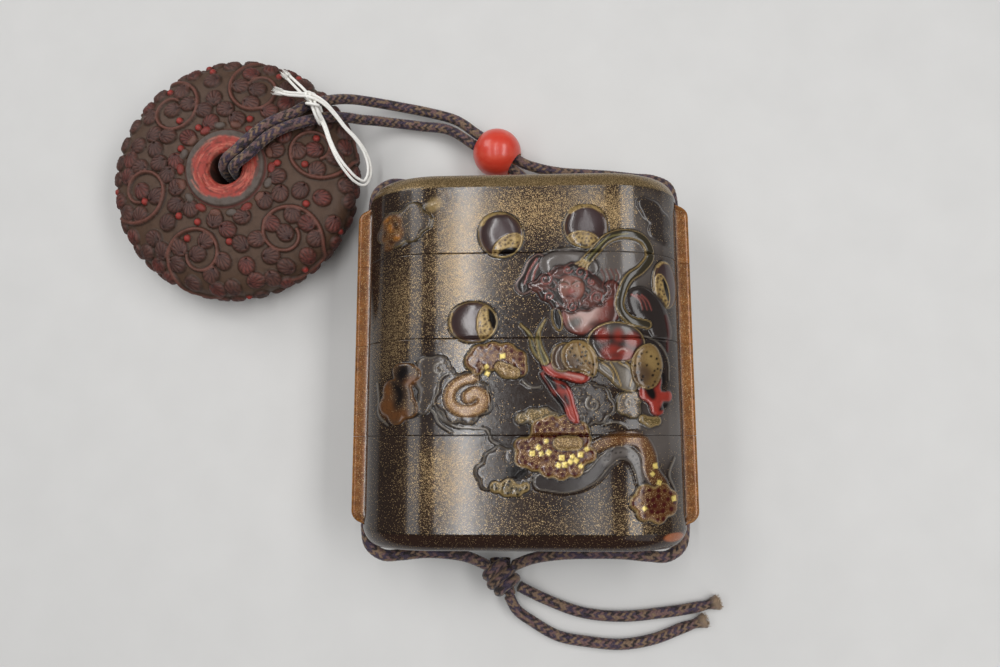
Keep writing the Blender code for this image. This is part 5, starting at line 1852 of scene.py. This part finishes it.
def toggle_profile():
    """Rows from the hole's floor to the foot, each distance from the axis, height and outward slant."""
    rim = TOGGLE_MIDDLE + TOGGLE_HALF + CARVING
    wall_heights = np.linspace(HOLE_FLOOR, rim - HOLE_ROUNDING, WALL_ROWS, endpoint=False)
    wall = [(HOLE_RADIUS, z, -1, 0) for z in wall_heights]
    bend = []
    for angle in np.linspace(0, math.pi / 2, 9):
        c, s = math.cos(angle), math.sin(angle)
        bend.append((HOLE_RADIUS + HOLE_ROUNDING * (1 - c), rim - HOLE_ROUNDING * (1 - s), -c, s))
    ring = [(across, rim, 0, 1) for across in np.arange(bend[-1][0] + RING_STEP, RING_EDGE, RING_STEP)]
    fall = []
    for share in np.linspace(0, 1, 6):
        level = rim - CARVING * (1 - math.cos(math.pi * share)) / 2
        fall.append((RING_EDGE + (RING_FOOT - RING_EDGE) * share, level, 0.5 * math.sin(math.pi * share), 1))
    skin_from = math.asin((RING_FOOT / TOGGLE_RADIUS) ** (TOGGLE_ROUNDNESS / 2))
    slopes = np.linspace(skin_from, SKIN_TO, 4000)
    fine = turned_point(slopes)
    along = np.concatenate([[0], np.cumsum(np.hypot(*np.diff(fine[:, :2], axis=0).T))])
    carved = np.interp(CARVED_TO, slopes, along)
    stops = np.concatenate([
        np.arange(0.15, carved, CARVED_STEP), np.arange(carved, along[-1], PLAIN_STEP), along[-1:]
    ])
    skin = np.column_stack([np.interp(stops, along, fine[:, i]) for i in range(4)])
    top = np.array([*wall, *bend, *ring, *fall], float)
    profile = np.vstack([top, skin, [(TOGGLE_FOOT, 0.0, 0, -1)]])
    reach = RING_FOOT + stops
    return profile, np.concatenate([top[:, 0], reach, reach[-1:] + 6.0])


TOGGLE_PROFILE, FLAT_RADIUS = toggle_profile()


def unrolled(across):
    """Distance from the middle of the unrolled skin, for a distance from the axis on the toggle's top."""
    top = np.argmax(TOGGLE_PROFILE[:, 0])
    return np.interp(across, TOGGLE_PROFILE[WALL_ROWS:top, 0], FLAT_RADIUS[WALL_ROWS:top])


# %% Vines, leaves and berries
def curl_points(number):
    """A vine that comes over the edge and winds into one curl, on the unrolled skin."""
    place = CURL_START + math.tau * number / CURL_COUNT
    hand = 1 if number % 2 else -1
    points = []
    for share in np.linspace(-0.62, 1, 34):
        angle = place + hand * math.radians(137.5 + 289 * share)
        radius = 5.3 - 2.9 * share * (1.9 if share < 0 else 1)
        x = CURL_PLACE * math.cos(place) + radius * math.cos(angle)
        y = CURL_PLACE * math.sin(place) + radius * math.sin(angle)
        grow = unrolled(math.hypot(x, y)) / math.hypot(x, y)
        points.append((x * grow, y * grow))
    return points


def leaf_centres():
    """Places of the leaves that the solid has too, in and between the curls."""
    rings = ((12, 11.0, 0.25), (6, CURL_PLACE, 0), (6, 16.35, 0.5), (6, 20.85, 0.5), (18, 24.6, 0))
    spots = []
    for count, distance, offset in rings:
        for i in range(count):
            turn = CURL_START + math.tau * (i + offset) / count
            reach = unrolled(distance)
            spots.append((reach * math.cos(turn), reach * math.sin(turn)))
    return spots


def spots_beside(taken, keep_off, count, spacing, low, high, seed):
    """Random places that keep their distance from the taken ones and from the vines."""
    rng = np.random.default_rng(seed)
    found = []
    for attempt in range(SPOT_TRIES):
        radius, turn = math.sqrt(rng.uniform(low ** 2, high ** 2)), rng.uniform(0, math.tau)
        spot = (radius * math.cos(turn), radius * math.sin(turn))
        if any(math.dist(spot, other) < spacing for other in taken + found):
            continue
        x, y = np.array([spot[0]]), np.array([spot[1]])
        if min(shape.rule(x, y)[0] for shape in keep_off) < spacing * 0.3:
            continue
        found.append(spot)
        if len(found) == count:
            break
    return found


def carve_leaf(sheet, x, y, number, size=1.85):
    """A domed leaf with veins that fan out from its stem."""
    heading = 2.4 * number + math.sin(number)
    worn = chance(number, 5)
    color = np.array(LEAF_BROWN) * (0.85 + 0.35 * chance(number, 9))
    leaf = oval(x, y, size, size * 0.9, math.degrees(heading))
    # Painted shade round the leaf's foot
    sheet.lay(leaf.grown(0.3), PAINTED_CARVING_SHADE, cover=0.7, soft=0.3)
    sheet.lay(leaf, color, height=CARVING, rounding=1.0, soft=0.12)
    if worn > 0.62:
        sheet.lay(leaf.grown(-0.3), WORN_RED, cover=0.6 * worn, soft=0.7)
    root = np.array((x, y)) - size * 0.8 * np.array((math.cos(heading), math.sin(heading)))
    for vein in range(-3, 4):
        way = heading + vein * 0.33
        length = size * (1.62 - 0.09 * vein * vein)
        tip = root + length * np.array((math.cos(way), math.sin(way)))
        sheet.lay(stroke([root, tip], 0.07, 0.13), VEIN_DARK, ridge=-0.16, rounding=0.15, cover=0.8)


# %% Carving the toggle
CARVED_GROUND = tint(76, 56, 43)
# Colour of the painted shade at the foot of the carving and inside the hole
PAINTED_CARVING_SHADE = tint(40, 31, 25)
LEAF_BROWN = tint(82, 54, 47)
VEIN_DARK = tint(44, 28, 27)
VINE_BROWN = tint(98, 64, 54)
BERRY_RED = tint(140, 50, 44)
WORN_RED = tint(112, 46, 40)
RING_RED = tint(150, 58, 48)
RING_PINK = tint(196, 112, 94)
RING_GREY = tint(84, 74, 68)


def carve(sheet):
    vines = [stroke(curl_points(number), 0.42, 0.3) for number in range(CURL_COUNT)]
    leaves = leaf_centres()
    leaves += spots_beside(leaves, vines, count=220, spacing=3.3, low=10.9, high=34.5, seed=211)
    for vine in vines:
        # Painted shade round the vines' feet
        sheet.lay(vine.grown(0.35), PAINTED_CARVING_SHADE, cover=0.7, soft=0.3)
    for number, (x, y) in enumerate(leaves):
        carve_leaf(sheet, x, y, number)
    for vine in vines:
        sheet.lay(vine, VINE_BROWN, height=0.7, rounding=0.55, soft=0.1)
        sheet.lay(vine.grown(-0.3), WORN_RED, cover=0.35, soft=0.3)
    for x, y in spots_beside(leaves, vines, count=38, spacing=2.35, low=10.6, high=33, seed=223):
        # Painted shade round each berry's foot
        sheet.lay(oval(x, y, 0.95, 0.95), PAINTED_CARVING_SHADE, cover=0.7, soft=0.3)
        sheet.lay(oval(x, y, 0.68, 0.68), BERRY_RED, height=0.7, rounding=0.6, soft=0.1)
    for number in range(COLLAR_COUNT):
        turn = math.tau * number / COLLAR_COUNT
        x, y = COLLAR_PLACE * math.cos(turn), COLLAR_PLACE * math.sin(turn)
        color = (WORN_RED, VINE_BROWN, RING_GREY)[number % 3]
        sheet.lay(oval(x, y, 1.15, 0.75, math.degrees(turn) + 90), color, height=0.6, rounding=0.6, soft=0.1)


def paint_ring(sheet, radius, turn):
    """Grey ring with a red inner half, its edge uneven, worn in short streaks round the hole, and painted
    shade inside the hole.
    """
    jag = 0.22 * np.sin(5 * turn) + 0.14 * np.sin(11 * turn + 1.0) + 0.08 * np.sin(29 * turn)
    red = ramp(6.7 + jag - radius, -0.35, 0.35) * ramp(radius, 3.3, 3.6)
    grey = ramp(8.7 - radius, -0.1, 0.1)
    sheet.color = blended(blended(sheet.color, RING_GREY, grey), RING_RED, red)
    for number in range(STREAKS):
        across, start = 3.5 + 3.6 * chance(number, 31), math.tau * chance(number, 37)
        angles = start + np.linspace(0, 0.15 + 0.5 * chance(number, 41), 4)
        wander = across + 0.25 * np.sin(3 * angles + number)
        points = list(zip(wander * np.cos(angles), wander * np.sin(angles)))
        tone = (RING_PINK, WORN_RED, RING_PINK, VEIN_DARK)[number % 4]
        sheet.lay(stroke(points, 0.16, 0.07), tone, ridge=-0.05, rounding=0.15, cover=0.45, soft=0.12)
    rim = np.exp(-((radius - 8.45) / 0.16) ** 2) * grey * 0.6
    # Painted shade inside the hole
    hole = 1 - ramp(radius, HOLE_RADIUS - 0.02, HOLE_RADIUS + 0.04)
    sheet.color = blended(blended(sheet.color, WORN_RED, rim), PAINTED_CARVING_SHADE, hole)


def toggle_recipe(wood):
    paint = wood.attribute("paint", "Color")
    soil = wood.noise(700.0, 4.0, 0.65)
    fine = wood.noise(3200.0, 3.0, 0.6)
    soiled = paint.mixed(rgba(56, 42, 32), (soil - 0.48).clamped() * 2.4)
    return {
        "Base Color": soiled,
        "Roughness": soil * 0.3 + 0.44,
        "Normal": wood.bump(soil + fine * 0.4, 0.00012, 0.6),
    }


toggle_finish = new_finish(
    "stained_carving", toggle_recipe, Coat_Weight=0.06, Coat_Roughness=0.3, Specular_IOR_Level=0.3
)


def add_toggle():
    turn = np.linspace(0, math.tau, TOGGLE_COLUMNS, endpoint=False)[None, :]
    radius = FLAT_RADIUS[:, None] + 0 * turn
    turn = turn + 0 * radius
    sheet = Sheet(radius * np.cos(turn), radius * np.sin(turn), CARVED_GROUND, 0 * radius)
    carve(sheet)
    paint_ring(sheet, radius, turn)
    slope_fade = 1 - ramp(radius, 33.5, 35.0)
    lift = np.where(radius < RING_FOOT + 0.1, np.minimum(sheet.height, 0.0), sheet.height * slope_fade)
    across, up, slant, rise = (TOGGLE_PROFILE[:, i, None] for i in range(4))
    reach = across + slant * lift
    x, y = TOGGLE_CENTRE
    height = up + rise * lift + 0 * turn
    points = np.stack([x + reach * np.cos(turn), y + reach * np.sin(turn), height], axis=-1)
    rows, count = points.shape[:2]
    piece = new_piece(
        "toggle_button",
        points.reshape(-1, 3) * MM,
        ring_faces(rows, count),
        toggle_finish,
        "carved_toggle",
        {"paint": sheet.color.reshape(-1, 3)},
        end_caps(rows, count),
    )
    piece.data.set_sharp_from_angle(angle=SHARP)
    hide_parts("button_toggle")


add_toggle()

# %% [markdown]
# ## The bead
#
# A plain coral ball with a bore for both strands, softened at the bore's edges.

# %% Coral bead
BEAD_SEGMENTS = 96
BEAD_SOFTNESS = 0.25 * MM


def coral_recipe(coral):
    banding = coral.add("ShaderNodeMapping", None, {"Vector": coral.place(), "Scale": (60.0, 500.0, 900.0)})
    streak = coral.noise(1.0, 3.0, 0.6, where=banding)
    color = coral.plain(206, 62, 46).mixed(rgba(222, 100, 78), (streak - 0.45).clamped() * 1.6)
    return {"Base Color": color, "Roughness": streak * 0.15 + 0.26}


coral_finish = new_finish(
    "polished_coral", coral_recipe, Coat_Weight=0.3, Coat_Roughness=0.12, Subsurface_Weight=0.08
)


def add_bead():
    bpy.ops.object.select_all(action="DESELECT")
    bpy.ops.mesh.primitive_cylinder_add(
        vertices=BEAD_SEGMENTS,
        radius=BEAD_BORE,
        depth=3 * BEAD_RADIUS,
        location=BEAD_CENTRE,
        rotation=(0, math.pi / 2, BEAD_TURN),
    )
    drill = bpy.context.object
    bpy.ops.mesh.primitive_uv_sphere_add(
        segments=BEAD_SEGMENTS,
        ring_count=BEAD_SEGMENTS // 2,
        radius=BEAD_RADIUS,
        location=BEAD_CENTRE,
        rotation=(0, math.pi / 2, BEAD_TURN),
    )
    bead = bpy.context.object
    bpy.ops.object.transform_apply(location=True, rotation=True, scale=True)
    cut(bead, [drill])
    soften = bead.modifiers.new("soften", "BEVEL")
    soften.width = BEAD_SOFTNESS
    soften.segments = 3
    soften.angle_limit = math.radians(40)
    bpy.ops.object.modifier_apply(modifier=soften.name)
    bead.name = bead.data.name = "coral_bead"
    bead.data.materials.clear()
    bead.data.materials.append(coral_finish)
    bead.data.shade_smooth()
    bead.data.set_sharp_from_angle(angle=SHARP)
    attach(bead, "root")
    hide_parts("slide_bead")
    print("coral_bead has", len(bead.data.polygons), "faces")


add_bead()
